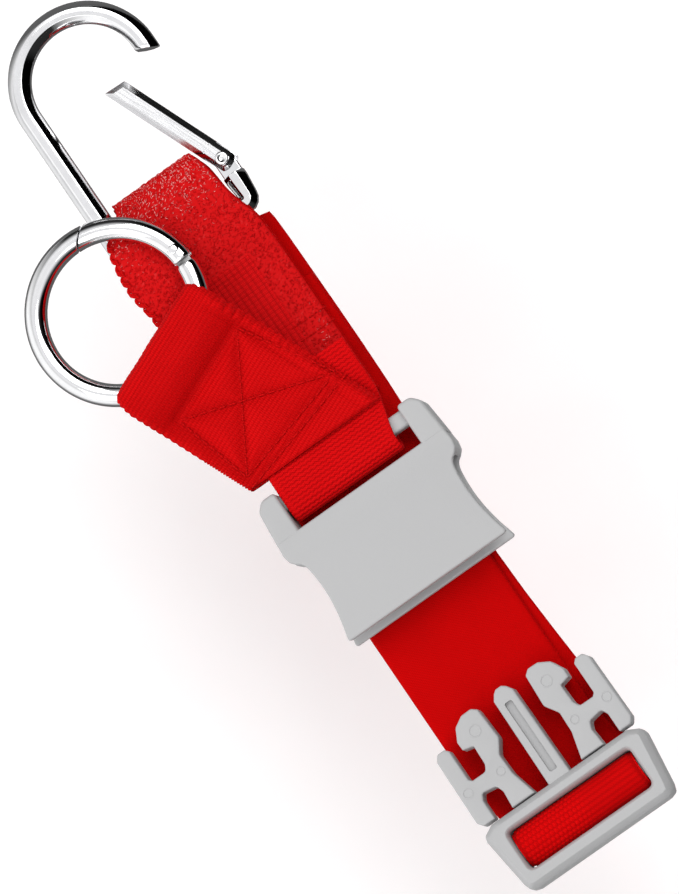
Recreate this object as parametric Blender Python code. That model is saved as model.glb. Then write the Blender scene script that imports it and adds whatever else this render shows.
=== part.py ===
"""Luggage strap: a webbing loop with a gated chrome hook, a side-release buckle laid open, and a
sewn tab that carries a spring-gate ring. Metres, +Z up, +X along the strap from hook to plug.
The origin lies on the underside of the strap."""
import math

import bmesh
import bpy
from mathutils import Vector

MM = 0.001

# Webbing
WEB = 1.3                     # thickness of the main strap
NAP = 0.7                     # thickness of the loop pile and of the hook patch
NAP_GAP = 0.3                 # air between them and the webbing that they are sewn to
THREAD = 0.4                  # thickness of the sewn rows
LINK_WEB = 1.2                # thickness of the webbing between tab and socket
LOW_Z = 0.65                  # middle of the layer that lies on the table
HIGH_Z = 2.25                 # middle of the layer above it
FRONT_Z = 4.3                 # middle of the loop-pile layer on top

# Hook
HOOK_Z = 4.9
HOOK_HALF = 3.0               # half the width across the flats of the section
BAR_HALF = 2.5                # the same for the base bar, which lies inside the webbing loop
SHANK_Y, STUB_Y = -15.0, 20.6
ARC_X = -108.7
BASE_X = -58.0
CORNER_R = 6.0
HOOK_PIN = (-71.0, STUB_Y)
GATE_OPEN = math.radians(22.0)
GATE_HALF_W, GATE_HALF_H = 2.9, 2.9
PIVOT_CLEAR = 4.6             # radius kept free round each gate's pin

# Ring
RING_C = (-52.7, -23.4, 13.6)
RING_R = 21.6
WIRE_R = 3.0
RING_PIN_A = 102.2            # degrees round the ring, from +X towards +Y
RING_FREE_A = 173.5           # where the gate's free end meets the ring
SEAM_GAP = 0.5                # the cut between them, an arc about the gate's pin
TAB_A = 23.0                  # direction of the tab as seen from the ring's centre
FOLD_U = 11.3                 # distance from the ring's centre to the outside of the fold

# Buckle
BUCKLE_Y = 3.0
BUCKLE_Z = 9.1
PLUG_BAR = (121.5, 8.4)
PLUG_BAR_R = 3.2
ROLL_R = 4.6                  # middle of the webbing that turns round the plug's bar
FRAME_LOW, FRAME_HIGH = 4.5, 14.1
ARM_HALF_H = 3.2
ARM_ROOT = (111.0, 10.8)
SOCKET_BAR = (12.5, 9.7)
SOCKET_BAR_R = 2.3
LINK_R = 3.25                 # middle of the webbing that turns round the socket's bar
PLATE_LOW, PLATE_HIGH = 3.5, 14.7
CAVITY_LOW, CAVITY_HIGH = 5.2, 13.0
TAB_END_X = 5.5
POCKET_X = -14.5
POCKET_LOW, POCKET_HIGH = 9.8, 13.2


def clear_scene():
    for obj in list(bpy.data.objects):
        bpy.data.objects.remove(obj, do_unlink=True)


def material(name, colour, roughness, metallic=0.0):
    mat = bpy.data.materials.new(name)
    mat.use_nodes = True
    shader = mat.node_tree.nodes["Principled BSDF"]
    shader.inputs["Base Color"].default_value = (*colour, 1.0)
    shader.inputs["Roughness"].default_value = roughness
    shader.inputs["Metallic"].default_value = metallic
    return mat


def make_object(name, verts, faces, mat=None, origin=(0.0, 0.0, 0.0)):
    """A mesh object from points in millimetres, with its origin at the given point."""
    mesh = bpy.data.meshes.new(name)
    shift = Vector(origin)
    mesh.from_pydata([(Vector(v) - shift) * MM for v in verts], [], faces)
    bm = bmesh.new()
    bm.from_mesh(mesh)
    bmesh.ops.recalc_face_normals(bm, faces=bm.faces[:])
    bm.to_mesh(mesh)
    bm.free()
    obj = bpy.data.objects.new(name, mesh)
    obj.location = shift * MM
    bpy.context.scene.collection.objects.link(obj)
    if mat:
        mesh.materials.append(mat)
    return obj


def cutter(obj):
    obj.hide_render = True
    obj.display_type = "WIRE"
    return obj


def combine(obj, other, operation):
    mod = obj.modifiers.new(other.name, "BOOLEAN")
    mod.operation = operation
    mod.solver = "EXACT"
    mod.object = cutter(other)


def subtract(obj, *others):
    for other in others:
        combine(obj, other, "DIFFERENCE")


def add(obj, *others):
    for other in others:
        combine(obj, other, "UNION")


def bevel(obj, width, angle=35.0):
    mod = obj.modifiers.new("Bevel", "BEVEL")
    mod.width = width * MM
    mod.segments = 1
    mod.limit_method = "ANGLE"
    mod.angle_limit = math.radians(angle)


def prism(name, outline, low, high, mat=None, origin=(0.0, 0.0, 0.0)):
    """An outline in XY raised from low to high."""
    count = len(outline)
    verts = [(x, y, low) for x, y in outline] + [(x, y, high) for x, y in outline]
    sides = [(i, (i + 1) % count, count + (i + 1) % count, count + i) for i in range(count)]
    faces = [tuple(reversed(range(count))), tuple(range(count, 2 * count))] + sides
    return make_object(name, verts, faces, mat, origin)


def box(name, low, high, mat=None):
    outline = [(low[0], low[1]), (high[0], low[1]), (high[0], high[1]), (low[0], high[1])]
    return prism(name, outline, low[2], high[2], mat)


def circle(cx, cy, radius, count, start=0.0, end=360.0):
    """Points round a circle. A full turn leaves its last point out."""
    steps = count if abs(end - start) == 360.0 else count - 1
    angles = [math.radians(start + (end - start) * i / steps) for i in range(count)]
    return [(cx + radius * math.cos(a), cy + radius * math.sin(a)) for a in angles]


def disc(name, centre, radius, low, high, count, mat=None, origin=(0.0, 0.0, 0.0)):
    return prism(name, circle(*centre, radius, count), low, high, mat, origin)


def bar_along_y(name, centre, radius, low, high, count):
    """A round bar with its middle at (x, z)."""
    ring = circle(*centre, radius, count, start=180.0 / count, end=180.0 / count + 360.0)
    verts = [(x, low, z) for x, z in ring] + [(x, high, z) for x, z in ring]
    sides = [(i, (i + 1) % count, count + (i + 1) % count, count + i) for i in range(count)]
    faces = [tuple(range(count)), tuple(reversed(range(count, 2 * count)))] + sides
    return make_object(name, verts, faces)


def smooth(points, per_span):
    """A Catmull-Rom curve through points of any number of coordinates."""
    padded = [points[0]] + list(points) + [points[-1]]
    out = []
    for i in range(1, len(padded) - 2):
        p0, p1, p2, p3 = padded[i - 1:i + 3]
        for k in range(per_span):
            t = k / per_span
            out.append(tuple(
                0.5 * (2 * b + (c - a) * t + (2 * a - 5 * b + 4 * c - d) * t * t
                       + (3 * b - a - 3 * c + d) * t ** 3)
                for a, b, c, d in zip(p0, p1, p2, p3)))
    return out + [tuple(points[-1])]


def web_strip(name, stations, thickness, mat, origin=(0.0, 0.0, 0.0)):
    """Webbing as one closed strip. A station is (x, z, low y, high y) on its middle surface."""
    half = thickness / 2
    verts = []
    for i, (x, z, y_low, y_high) in enumerate(stations):
        before = stations[max(i - 1, 0)]
        after = stations[min(i + 1, len(stations) - 1)]
        run = Vector((after[0] - before[0], after[1] - before[1])).normalized()
        nx, nz = -run.y * half, run.x * half
        verts += [(x + nx, y_low, z + nz), (x + nx, y_high, z + nz),
                  (x - nx, y_high, z - nz), (x - nx, y_low, z - nz)]
    faces = [(0, 1, 2, 3), tuple(len(verts) - 4 + k for k in (3, 2, 1, 0))]
    for i in range(len(stations) - 1):
        a, b = 4 * i, 4 * i + 4
        faces += [(a + k, a + (k + 1) % 4, b + (k + 1) % 4, b + k) for k in range(4)]
    return make_object(name, verts, faces, mat, origin)


def sweep(name, path, sections, height, mat, origin=(0.0, 0.0, 0.0)):
    """A bar along a path in XY at the given height. Each section is a list of (side, up) points."""
    count = len(sections[0])
    verts = []
    for i, (x, y) in enumerate(path):
        before, after = path[max(i - 1, 0)], path[min(i + 1, len(path) - 1)]
        run = Vector((after[0] - before[0], after[1] - before[1])).normalized()
        verts += [(x - run.y * side, y + run.x * side, height + up) for side, up in sections[i]]
    faces = [tuple(range(count)), tuple(reversed(range(len(verts) - count, len(verts))))]
    for i in range(len(path) - 1):
        a, b = count * i, count * (i + 1)
        faces += [(a + k, a + (k + 1) % count, b + (k + 1) % count, b + k) for k in range(count)]
    return make_object(name, verts, faces, mat, origin)


def octagon(half_side, half_up):
    cut = math.tan(math.radians(22.5))
    return [(half_side * sx, half_up * sy) for sx, sy in (
        (1, cut), (cut, 1), (-cut, 1), (-1, cut), (-1, -cut), (-cut, -1), (cut, -1), (1, -cut))]


def turned(points, pivot, angle):
    """Points in XY turned about a pivot."""
    c, s = math.cos(angle), math.sin(angle)
    return [(pivot[0] + (x - pivot[0]) * c - (y - pivot[1]) * s,
             pivot[1] + (x - pivot[0]) * s + (y - pivot[1]) * c) for x, y in points]


def arc_path(radius, start, end, count):
    """Points along the ring's own circle, angles in degrees."""
    return circle(RING_C[0], RING_C[1], radius, count, start, end)


def ring_point(angle, radius=RING_R):
    a = math.radians(angle)
    return RING_C[0] + radius * math.cos(a), RING_C[1] + radius * math.sin(a)


def rod(name, start, end, radius, count, mat=None, origin=(0.0, 0.0, 0.0)):
    """A straight round rod between two points in space."""
    a, b = Vector(start), Vector(end)
    run = (b - a).normalized()
    turn = Vector((0, 0, 1)).rotation_difference(run).to_matrix()
    rim = [turn @ Vector((x, y, 0)) for x, y in circle(0, 0, radius, count)]
    verts = [a + p for p in rim] + [b + p for p in rim]
    sides = [(i, (i + 1) % count, count + (i + 1) % count, count + i) for i in range(count)]
    faces = [tuple(reversed(range(count))), tuple(range(count, 2 * count))] + sides
    return make_object(name, verts, faces, mat, origin)


def coil(name, start, end, radius, wire, turns, mat, origin):
    """A helical spring between two points."""
    a, b = Vector(start), Vector(end)
    turn = Vector((0, 0, 1)).rotation_difference((b - a).normalized()).to_matrix()
    length, per_turn, sides = (b - a).length, 10, 5
    verts = []
    steps = turns * per_turn
    for i in range(steps + 1):
        angle = 2 * math.pi * i / per_turn
        out = Vector((math.cos(angle), math.sin(angle), 0))
        for k in range(sides):
            roll = 2 * math.pi * k / sides
            height = wire + (length - 2 * wire) * i / steps + wire * math.sin(roll)
            verts.append(a + turn @ (out * (radius + wire * math.cos(roll)) + Vector((0, 0, height))))
    faces = [tuple(range(sides)), tuple(reversed(range(sides * steps, sides * (steps + 1))))]
    for i in range(steps):
        p, q = sides * i, sides * (i + 1)
        faces += [(p + k, p + (k + 1) % sides, q + (k + 1) % sides, q + k) for k in range(sides)]
    return make_object(name, verts, faces, mat, origin)


# ---------------------------------------------------------------- webbing

def strap_stations():
    """The strap from the end of its loop-pile layer, round the hook, along the table, round the
    plug's bar, and back to its end between the other two layers."""
    pile = (-17.4, 20.6)
    front = [(-8, FRONT_Z, *pile), (-30, FRONT_Z, *pile), (-40, 4.6, *pile), (-48, 6.3, *pile),
             (-54, 8.2, -17.0, 20.4), (-58, 8.65, -15.0, 19.6), (-63, 8.5, -12.4, 18.2),
             (-69, 7.8, -11.4, 17.0), (-74, 6.2, -11.2, 15.6), (-76.6, 3.8, -11.0, 14.2),
             (-75, 1.5, -11.0, 15.0), (-72, LOW_Z, -11.2, 16.0), (-66, LOW_Z, -11.2, 16.6)]
    low = [(-54, LOW_Z, -11.2, 16.7), (-46, LOW_Z, -15.0, 23.0), (0, LOW_Z, -15.0, 23.0),
           (53, LOW_Z, -16.7, 21.3), (98, LOW_Z, -14.5, 23.5), (108, LOW_Z, -15.0, 23.0),
           (111.3, 0.72, -15.8, 22.0), (114, 1.1, -16, 22), (117.5, 2.2, -16, 22)]
    roll = (BUCKLE_Y - 18.6, BUCKLE_Y + 18.6)
    bar = [(x, z, *roll) for x, z in circle(*PLUG_BAR, ROLL_R, 13, -80.0, 180.0)]
    down = [(117.1, 5.2, -15.6, 21.6), (116.6, 3.8, -16, 22), (115.2, 3.1, -16, 22),
            (112.5, 2.5, -16.3, 21.6), (109, HIGH_Z, -17, 21)]
    high = [(98, HIGH_Z, -18.3, 19.7), (50, HIGH_Z, -18.3, 19.7), (0, HIGH_Z, -15.5, 22.5),
            (-40, HIGH_Z, -15.5, 22.5)]
    stations = smooth(front, 3)
    stations += low + bar + down + high
    return stations


def offset_stations(stations, distance, y_low, y_high):
    """Stations on the front layer's upper side, between two edges held inside the layer's own."""
    out = []
    for i, (x, z, low, high) in enumerate(stations):
        before, after = stations[max(i - 1, 0)], stations[min(i + 1, len(stations) - 1)]
        run = Vector((after[0] - before[0], after[1] - before[1])).normalized()
        out.append((x + run.y * distance, z - run.x * distance,
                    max(low + 0.4, y_low), min(high - 0.4, y_high)))
    return out


def build_strap(mats):
    stations = strap_stations()
    web_strip("main_strap", stations, WEB, mats["strap"])
    front = [s for s in stations[:30] if s[0] < -9.0]
    lift = (WEB + NAP) / 2 + NAP_GAP
    ends = [s for s in offset_stations(front, lift, -99.0, 99.0) if s[1] > 4.5]
    pile = web_strip("loop_pile", ends, NAP, mats["pile"])
    patch_low, patch_high = (-47.0, -3.0, 3.0), (-8.0, 12.2, 9.0)
    subtract(pile, box("pile_window", patch_low, patch_high))
    patch = [s for s in offset_stations(front, lift, -2.6, 11.8) if s[0] > -46.4]
    web_strip("hook_patch", patch, NAP, mats["patch"])
    build_edge_thread(offset_stations(front, 0.0, -99.0, 99.0), mats["thread"])
    tacks = [(-24.0, -16.2, 21.4), (-20.0, -16.2, 21.4)]
    for number, (x, y_low, y_high) in enumerate(tacks, 1):
        web_strip(f"strap_tack_{number}", tack(x, y_low, y_high), THREAD, mats["thread"])


def tack(x, y_low, y_high):
    """A row of sewing across the pile layer."""
    z = FRONT_Z + WEB / 2 + NAP_GAP + NAP + NAP_GAP + THREAD + 0.1
    return [(x - 0.4, z, y_low, y_high), (x + 0.4, z, y_low, y_high)]


def build_edge_thread(front, mat):
    """The overlock thread along the left edge of the pile layer: one scalloped band."""
    run = [s for s in front if -72.0 < s[0] < -12.0 and s[1] > 4.2]
    outer, inner = [], []
    for i, (x, z, low, _) in enumerate(run):
        outer.append((x, low - 0.7 - (0.9 if i % 2 else 0.0), z))
        inner.append((x, low - 0.7, z))
    verts, faces = [], []
    for (x, y, z), (_, y_in, _) in zip(outer, inner):
        verts += [(x, y - 0.5, z - 0.4), (x, y_in, z - 0.4), (x, y_in, z + 0.4), (x, y - 0.5, z + 0.4)]
    faces += [(0, 1, 2, 3), tuple(len(verts) - 4 + k for k in (3, 2, 1, 0))]
    for i in range(len(run) - 1):
        a, b = 4 * i, 4 * i + 4
        faces += [(a + k, a + (k + 1) % 4, b + (k + 1) % 4, b + k) for k in range(4)]
    make_object("pile_edge_thread", verts, faces, mat)


# ---------------------------------------------------------------- hook

def build_hook(mats):
    radius = (STUB_Y - SHANK_Y) / 2
    middle = (STUB_Y + SHANK_Y) / 2
    path = [(-103.0, STUB_Y)] + circle(ARC_X, middle, radius, 19, 90.0, 270.0) + [(-70.0, SHANK_Y)]
    inner_y = SHANK_Y + CORNER_R
    path += circle(BASE_X - CORNER_R, inner_y, CORNER_R, 5, -90.0, 0.0)
    path += circle(BASE_X - CORNER_R, STUB_Y - CORNER_R, CORNER_R, 5, 0.0, 90.0)
    path += [(-65.5, STUB_Y), (-74.0, STUB_Y)]
    base = {i for i, (x, _) in enumerate(path) if x > BASE_X - CORNER_R + 1.0 and x > -64.0}
    sections = [octagon(*((BAR_HALF,) * 2 if i in base else (HOOK_HALF,) * 2))
                for i in range(len(path))]
    hook = sweep("hook_body", path, sections, HOOK_Z, mats["chrome"])
    nose = [(-90.0, 10.0), (-90.0, 28.0), (-105.0 + 1.9, 28.0), (-105.0, 23.6), (-107.3, 17.6),
            (-110.2, 10.0)]
    px, py = HOOK_PIN
    low, high = HOOK_Z - 5.0, HOOK_Z + 5.0
    behind = [(px - 8, py - 6), (px + PIVOT_CLEAR, py - 6), (px + PIVOT_CLEAR, py + 6), (px - 8, py + 6)]
    subtract(hook,
             prism("hook_nose_cut", nose, low, high),
             prism("hook_upper_cut", behind, HOOK_Z + 1.3, high),
             prism("hook_lower_cut", behind, low, HOOK_Z - 1.3),
             box("hook_tongue_end", (px - 8, py - 6, low), (px - 2.7, py + 6, high)),
             disc("hook_pin_hole", HOOK_PIN, 1.4, low, high, 14))
    build_hook_gate(mats)


def gate_frame(along, side, up):
    """A point in the hook gate's own frame: along it from the pin, sideways to +Y, and up."""
    x, y = turned([(HOOK_PIN[0] - along, HOOK_PIN[1] + side)], HOOK_PIN, GATE_OPEN)[0]
    return x, y, HOOK_Z + up


def build_hook_gate(mats):
    origin = (*HOOK_PIN, HOOK_Z)
    half = GATE_HALF_W
    outline = [(-2.6, -half), (-3.2, -1.2), (-3.2, 1.2), (-2.6, half), (33.0, half), (35.6, -half)]
    points = [gate_frame(a, s, 0)[:2] for a, s in reversed(outline)]
    gate = prism("hook_gate", points, HOOK_Z - GATE_HALF_H, HOOK_Z + GATE_HALF_H, mats["chrome"], origin)
    bevel(gate, 0.9)
    slot = [gate_frame(a, s, 0)[:2] for a, s in ((-6, -5), (3.6, -5), (3.6, 5), (-6, 5))]
    subtract(gate,
             prism("gate_slot", slot, HOOK_Z - 1.7, HOOK_Z + 1.7),
             rod("gate_bore", gate_frame(3.0, 0, 0), gate_frame(17.0, 0, 0), 1.55, 12),
             disc("gate_pin_hole", HOOK_PIN, 1.35, HOOK_Z - 5, HOOK_Z + 5, 14))
    rod("hook_gate_plunger", gate_frame(3.4, 0, 0), gate_frame(7.0, 0, 0), 1.2, 10,
        mats["steel"], origin)
    coil("hook_gate_spring", gate_frame(7.4, 0, 0), gate_frame(16.5, 0, 0), 0.95, 0.2, 7,
         mats["steel"], origin)
    rivet("hook_gate_pin", (*HOOK_PIN, HOOK_Z), 1.0, GATE_HALF_H, 1.75, mats["steel"])


def rivet(name, centre, radius, half_height, head_radius, mat):
    """A pin with a flat head on each end, standing 0.3 mm off the cheeks that it holds."""
    x, y, z = centre
    face = half_height + 0.3
    pin = disc(name, (x, y), radius, z - face - 0.2, z + face + 0.2, 14, mat, centre)
    add(pin, disc(f"{name}_top", (x, y), head_radius, z + face, z + face + 0.5, 14),
        disc(f"{name}_foot", (x, y), head_radius, z - face - 0.5, z - face, 14))
    return pin


# ---------------------------------------------------------------- ring

def round_section(radius, count=12):
    return circle(0, 0, radius, count, 15.0, 375.0)


def seam_cut(name, pin, shift, depth):
    """A cutter whose face is an arc about the gate's pin through the wire's free end, moved
    outwards by shift. It reaches from there by depth, inwards if that is negative."""
    free = ring_point(RING_FREE_A)
    reach = math.dist(free, pin) + shift
    middle = math.degrees(math.atan2(free[1] - pin[1], free[0] - pin[0]))
    face = circle(*pin, reach, 9, middle - 16.0, middle + 16.0)
    back = circle(*pin, reach + depth, 2, middle + 16.0, middle - 16.0)
    return prism(name, face + back, RING_C[2] - 5.0, RING_C[2] + 5.0)


def build_ring(mats):
    z = RING_C[2]
    degree = math.degrees(1 / RING_R)
    overrun = 9.0
    start, end = RING_FREE_A - overrun, RING_PIN_A - PIVOT_CLEAR * degree + 360.0
    path = arc_path(RING_R, start, end, 37)
    ring = sweep("ring_body", path, [round_section(WIRE_R)] * len(path), z, mats["chrome"], RING_C)
    tongue_path = arc_path(RING_R, end - 14.0, RING_PIN_A + 360.0 + 2.5 * degree, 7)
    tongue = [(-2.1, -1.0), (2.1, -1.0), (2.1, 1.0), (-2.1, 1.0)]
    add(ring, sweep("ring_tongue", tongue_path, [tongue] * len(tongue_path), z, None))
    pin = ring_point(RING_PIN_A)
    subtract(ring,
             disc("ring_pin_hole", pin, 1.2, z - 5, z + 5, 14),
             seam_cut("ring_seam", pin, SEAM_GAP / 2, -9.0))

    gate_path = arc_path(RING_R, RING_PIN_A - 3.2 * degree, RING_FREE_A + overrun, 12)
    origin = (*pin, z)
    gate = sweep("ring_gate", gate_path, [round_section(WIRE_R)] * len(gate_path), z,
                 mats["chrome"], origin)
    slot_path = arc_path(RING_R, RING_PIN_A - 8.0 * degree, RING_PIN_A + 3.4 * degree, 4)
    slot = [(-4.0, -1.35), (4.0, -1.35), (4.0, 1.35), (-4.0, 1.35)]
    bore_start = (*ring_point(RING_PIN_A + 2.6 * degree), z)
    bore_end = (*ring_point(RING_PIN_A + 13.0 * degree), z)
    subtract(gate,
             sweep("ring_gate_slot", slot_path, [slot] * len(slot_path), z, None),
             rod("ring_gate_bore", bore_start, bore_end, 1.3, 12),
             disc("ring_gate_hole", pin, 1.2, z - 5, z + 5, 14),
             seam_cut("ring_gate_seam", pin, -SEAM_GAP / 2, 9.0))
    a, b = Vector(bore_start), Vector(bore_end)
    run = (b - a).normalized()
    rod("ring_gate_plunger", a + run * 0.9, a + run * 3.4, 1.0, 10, mats["steel"], origin)
    coil("ring_gate_spring", a + run * 3.8, b - run * 0.5, 0.75, 0.17, 6, mats["steel"], origin)
    rivet_flush("ring_gate_pin", origin, mats["steel"])


def rivet_flush(name, centre, mat):
    """A plain headless pin that ends level with the wire."""
    x, y, z = centre
    return disc(name, (x, y), 0.9, z - WIRE_R + 0.1, z + WIRE_R - 0.1, 14, mat, centre)


# ---------------------------------------------------------------- tab and link

def tab_point(u, w, z):
    """A point in the tab's own frame: u away from the ring's centre, w across."""
    a = math.radians(TAB_A)
    return (RING_C[0] + u * math.cos(a) - w * math.sin(a),
            RING_C[1] + u * math.sin(a) + w * math.cos(a), z)


def tab_prism(name, profile, w_low, w_high, mat=None, origin=(0.0, 0.0, 0.0)):
    """A profile in (u, z) carried across the tab. The width narrows towards the fold."""
    count = len(profile)
    narrow = [max(0.0, 1.0 - (u - FOLD_U) / 8.0) * 3.6 for u, _ in profile]
    verts = [tab_point(u, w_low + n, z) for (u, z), n in zip(profile, narrow)]
    verts += [tab_point(u, w_high - n, z) for (u, z), n in zip(profile, narrow)]
    sides = [(i, (i + 1) % count, count + (i + 1) % count, count + i) for i in range(count)]
    faces = [tuple(range(count)), tuple(reversed(range(count, 2 * count)))] + sides
    return make_object(name, verts, faces, mat, origin)


def build_tab(mats):
    z = RING_C[2]
    w_low, w_high = -20.4, 17.6
    origin = (SOCKET_BAR[0], BUCKLE_Y, SOCKET_BAR[1])
    nose = [(14.4, 8.6), (12.6, 9.6), (11.6, 11.4), (11.3, 13.6), (11.6, 15.8), (12.6, 17.6), (14.4, 18.6)]
    top = [(23.0, 18.3), (25.8, 16.6), (28.0, 14.6), (45.0, 14.5), (76.0, 14.6)]
    bottom = [(76.0, 8.4), (45.0, 8.6), (38.0, 9.6), (32.0, 9.4), (27.0, 8.6), (23.0, 8.5)]
    tab = tab_prism("ring_tab", nose + top + bottom, w_low, w_high, mats["tab"], origin)
    inner = WIRE_R + 0.7
    pocket = [(14.8, z - inner), (13.0, z - 2.2), (12.7, z), (13.0, z + 2.2), (14.8, z + inner),
              (22.8, z + inner), (25.5, z + 1.5), (25.5, z - 1.8), (22.8, z - inner)]
    tunnel_path = arc_path(RING_R, TAB_A - 100.0, TAB_A + 100.0, 25)
    tunnel = [round_section(WIRE_R + 0.55)] * len(tunnel_path)
    subtract(tab,
             tab_prism("tab_ring_pocket", pocket, -40.0, 40.0),
             sweep("tab_ring_tunnel", tunnel_path, tunnel, z, None),
             box("tab_end_cut", (TAB_END_X, -60, 0), (60, 60, 40)),
             box("tab_link_pocket", (POCKET_X, -60, POCKET_LOW), (60, 60, POCKET_HIGH)))
    build_stitching(mats["thread"])

    bar_x, bar_z = SOCKET_BAR
    y_low, y_high = -15.7, 20.8
    top_z, low_z = 12.25, 10.7
    path = [(-13.8, top_z), (0, top_z), (5, 12.4), (9, bar_z + LINK_R)]
    path += circle(bar_x, bar_z, LINK_R, 9, 90.0, -90.0)
    path += [(9.5, bar_z - LINK_R + 1.0), (5.8, 10.6), (0, low_z), (-13.8, low_z)]
    web_strip("link_webbing", [(x, zz, y_low, y_high) for x, zz in path], LINK_WEB,
              mats["link"], origin)


def build_stitching(mat):
    """The box with a cross sewn through the tab, as one flat thread."""
    corners = [Vector(p) for p in ((-31.3, -0.2), (-20.2, -26.2), (2.1, -19.8), (-7.0, 14.5))]
    pairs = [(0, 1), (1, 2), (2, 3), (3, 0), (0, 2), (1, 3)]
    strips = []
    for number, (a, b) in enumerate(pairs):
        run = (corners[b] - corners[a]).normalized()
        side = Vector((-run.y, run.x)) * 0.45
        start, end = corners[a] - run * 0.45, corners[b] + run * 0.45
        outline = [start - side, end - side, end + side, start + side]
        name = "box_x_stitching" if number == 0 else f"stitch_line_{number}"
        strips.append(prism(name, [tuple(p) for p in outline], 14.95, 15.35,
                            mat if number == 0 else None))
    add(strips[0], *strips[1:])


# ---------------------------------------------------------------- buckle

def mirrored(half):
    """A half outline (x, v) from the middle line outwards, closed by its mirror image."""
    upper = [(x, BUCKLE_Y + v) for x, v in half]
    lower = [(x, BUCKLE_Y - v) for x, v in reversed(half) if v != 0]
    return upper + lower


def build_plug_frame(mats):
    origin = (PLUG_BAR[0], BUCKLE_Y, PLUG_BAR[1])
    half = [(111.8, 0), (111.8, 21.2), (113.4, 24.3), (115.0, 24.7), (129.5, 22.9), (131.4, 22.1),
            (132.0, 20.5), (132.0, 0)]
    frame = prism("plug_frame", mirrored(half), FRAME_LOW, FRAME_HIGH, mats["plastic"], origin)
    bevel(frame, 1.0, 50.0)
    y = BUCKLE_Y
    subtract(frame, box("frame_window", (115.9, y - 19.0, 0), (127.3, y + 19.0, 20)))
    tip = [(83.8, 0), (83.8, 1.0), (86.0, 3.0), (112.6, 3.3), (112.6, 0)]
    prong = prism("frame_prong", mirrored(tip), BUCKLE_Z - ARM_HALF_H, BUCKLE_Z + ARM_HALF_H)
    groove = box("prong_groove", (88.5, y - 1.1, BUCKLE_Z + ARM_HALF_H - 0.9), (110.0, y + 1.1, 20))
    add(frame, prong, bar_along_y("plug_bar", PLUG_BAR, PLUG_BAR_R, y - 19.6, y + 19.6, 12))
    subtract(frame, groove)


def build_latch_arm(name, side, mat):
    """One sprung arm with its barbed head, crossbar and side button. Side is +1 or -1."""
    outline = [(111.3, 7.3), (111.3, 14.3), (106.5, 13.9), (104.4, 14.7), (103.8, 18.6),
               (105.6, 19.5), (111.0, 19.5), (111.0, 23.0), (109.4, 24.2), (90.6, 23.9),
               (89.0, 22.7), (89.0, 20.6), (90.0, 19.6), (99.0, 19.6), (99.7, 18.8), (99.7, 14.8),
               (98.0, 13.9), (92.6, 13.7), (91.9, 16.6), (89.4, 16.7), (86.0, 14.9), (84.3, 12.0),
               (84.2, 9.0), (85.4, 7.5), (94.5, 7.0), (98.2, 9.4), (104.0, 9.2), (109.4, 7.8)]
    points = [(x, BUCKLE_Y + side * v) for x, v in outline]
    root = (ARM_ROOT[0], BUCKLE_Y + side * ARM_ROOT[1], BUCKLE_Z)
    prism(name, points, BUCKLE_Z - ARM_HALF_H, BUCKLE_Z + ARM_HALF_H, mat, root)


def build_socket(mats):
    y = BUCKLE_Y
    waist = [(28.9, 23.4), (33.0, 22.7), (38.0, 22.5), (43.0, 22.9), (48.0, 23.8), (52.0, 25.1)]
    half = [(9.3, 0), (9.3, 23.2), (11.2, 25.4), (18.0, 26.1), (24.6, 26.6), (27.0, 26.0),
            (28.4, 24.4)] + waist + [(53.2, 25.0), (53.2, 0)]
    socket = prism("buckle_socket", mirrored(half), PLATE_LOW, PLATE_HIGH, mats["plastic"],
                   (30.0, BUCKLE_Y, BUCKLE_Z))
    bevel(socket, 0.6, 50.0)
    bar_x, bar_z = SOCKET_BAR
    subtract(socket,
             box("socket_rear_cut", (0, y - 19.2, 0), (20.7, y + 19.2, 20)),
             box("socket_cavity", (22.7, y - 24.5, CAVITY_LOW), (60, y + 24.5, CAVITY_HIGH)),
             box("socket_sides", (28.9, y - 40, CAVITY_LOW), (60, y + 40, CAVITY_HIGH)),
             box("socket_lip", (52.4, y - 40, CAVITY_LOW), (60, y + 40, 20)))
    ribs = [box(f"catch_rib_{n}", (34.2, y + v, CAVITY_LOW - 0.6), (38.0, y + v + 1.0, CAVITY_HIGH + 0.6))
            for n, v in enumerate((17.1, -18.1))]
    add(socket, bar_along_y("socket_bar", SOCKET_BAR, SOCKET_BAR_R, y - 19.9, y + 19.9, 10), *ribs)


def main():
    clear_scene()
    mats = {
        "strap": material("strap_red", (0.50, 0.0, 0.0), 0.75),
        "pile": material("pile_red", (0.62, 0.01, 0.015), 0.95),
        "patch": material("patch_red", (0.55, 0.02, 0.02), 0.7),
        "tab": material("tab_red", (0.58, 0.005, 0.005), 0.8),
        "link": material("link_red", (0.56, 0.005, 0.005), 0.8),
        "thread": material("thread_red", (0.52, 0.01, 0.01), 0.7),
        "chrome": material("chrome", (0.85, 0.85, 0.86), 0.08, 1.0),
        "steel": material("spring_steel", (0.55, 0.55, 0.56), 0.25, 1.0),
        "plastic": material("grey_plastic", (0.52, 0.52, 0.52), 0.5),
    }
    build_strap(mats)
    build_hook(mats)
    build_ring(mats)
    build_tab(mats)
    build_plug_frame(mats)
    build_latch_arm("latch_arm_right", 1, mats["plastic"])
    build_latch_arm("latch_arm_left", -1, mats["plastic"])
    build_socket(mats)


main()
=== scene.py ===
"""The looks of the luggage strap: woven and napped webbing, sewing, chromed hardware and moulded
buckle halves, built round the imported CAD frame. Lengths are millimetres, apart from those of the
studio, which are metres. Angles named *_A are degrees. Heights named *_Z are of a middle line."""
import math

import bpy
import numpy as np
from mathutils import Matrix, Vector


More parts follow.
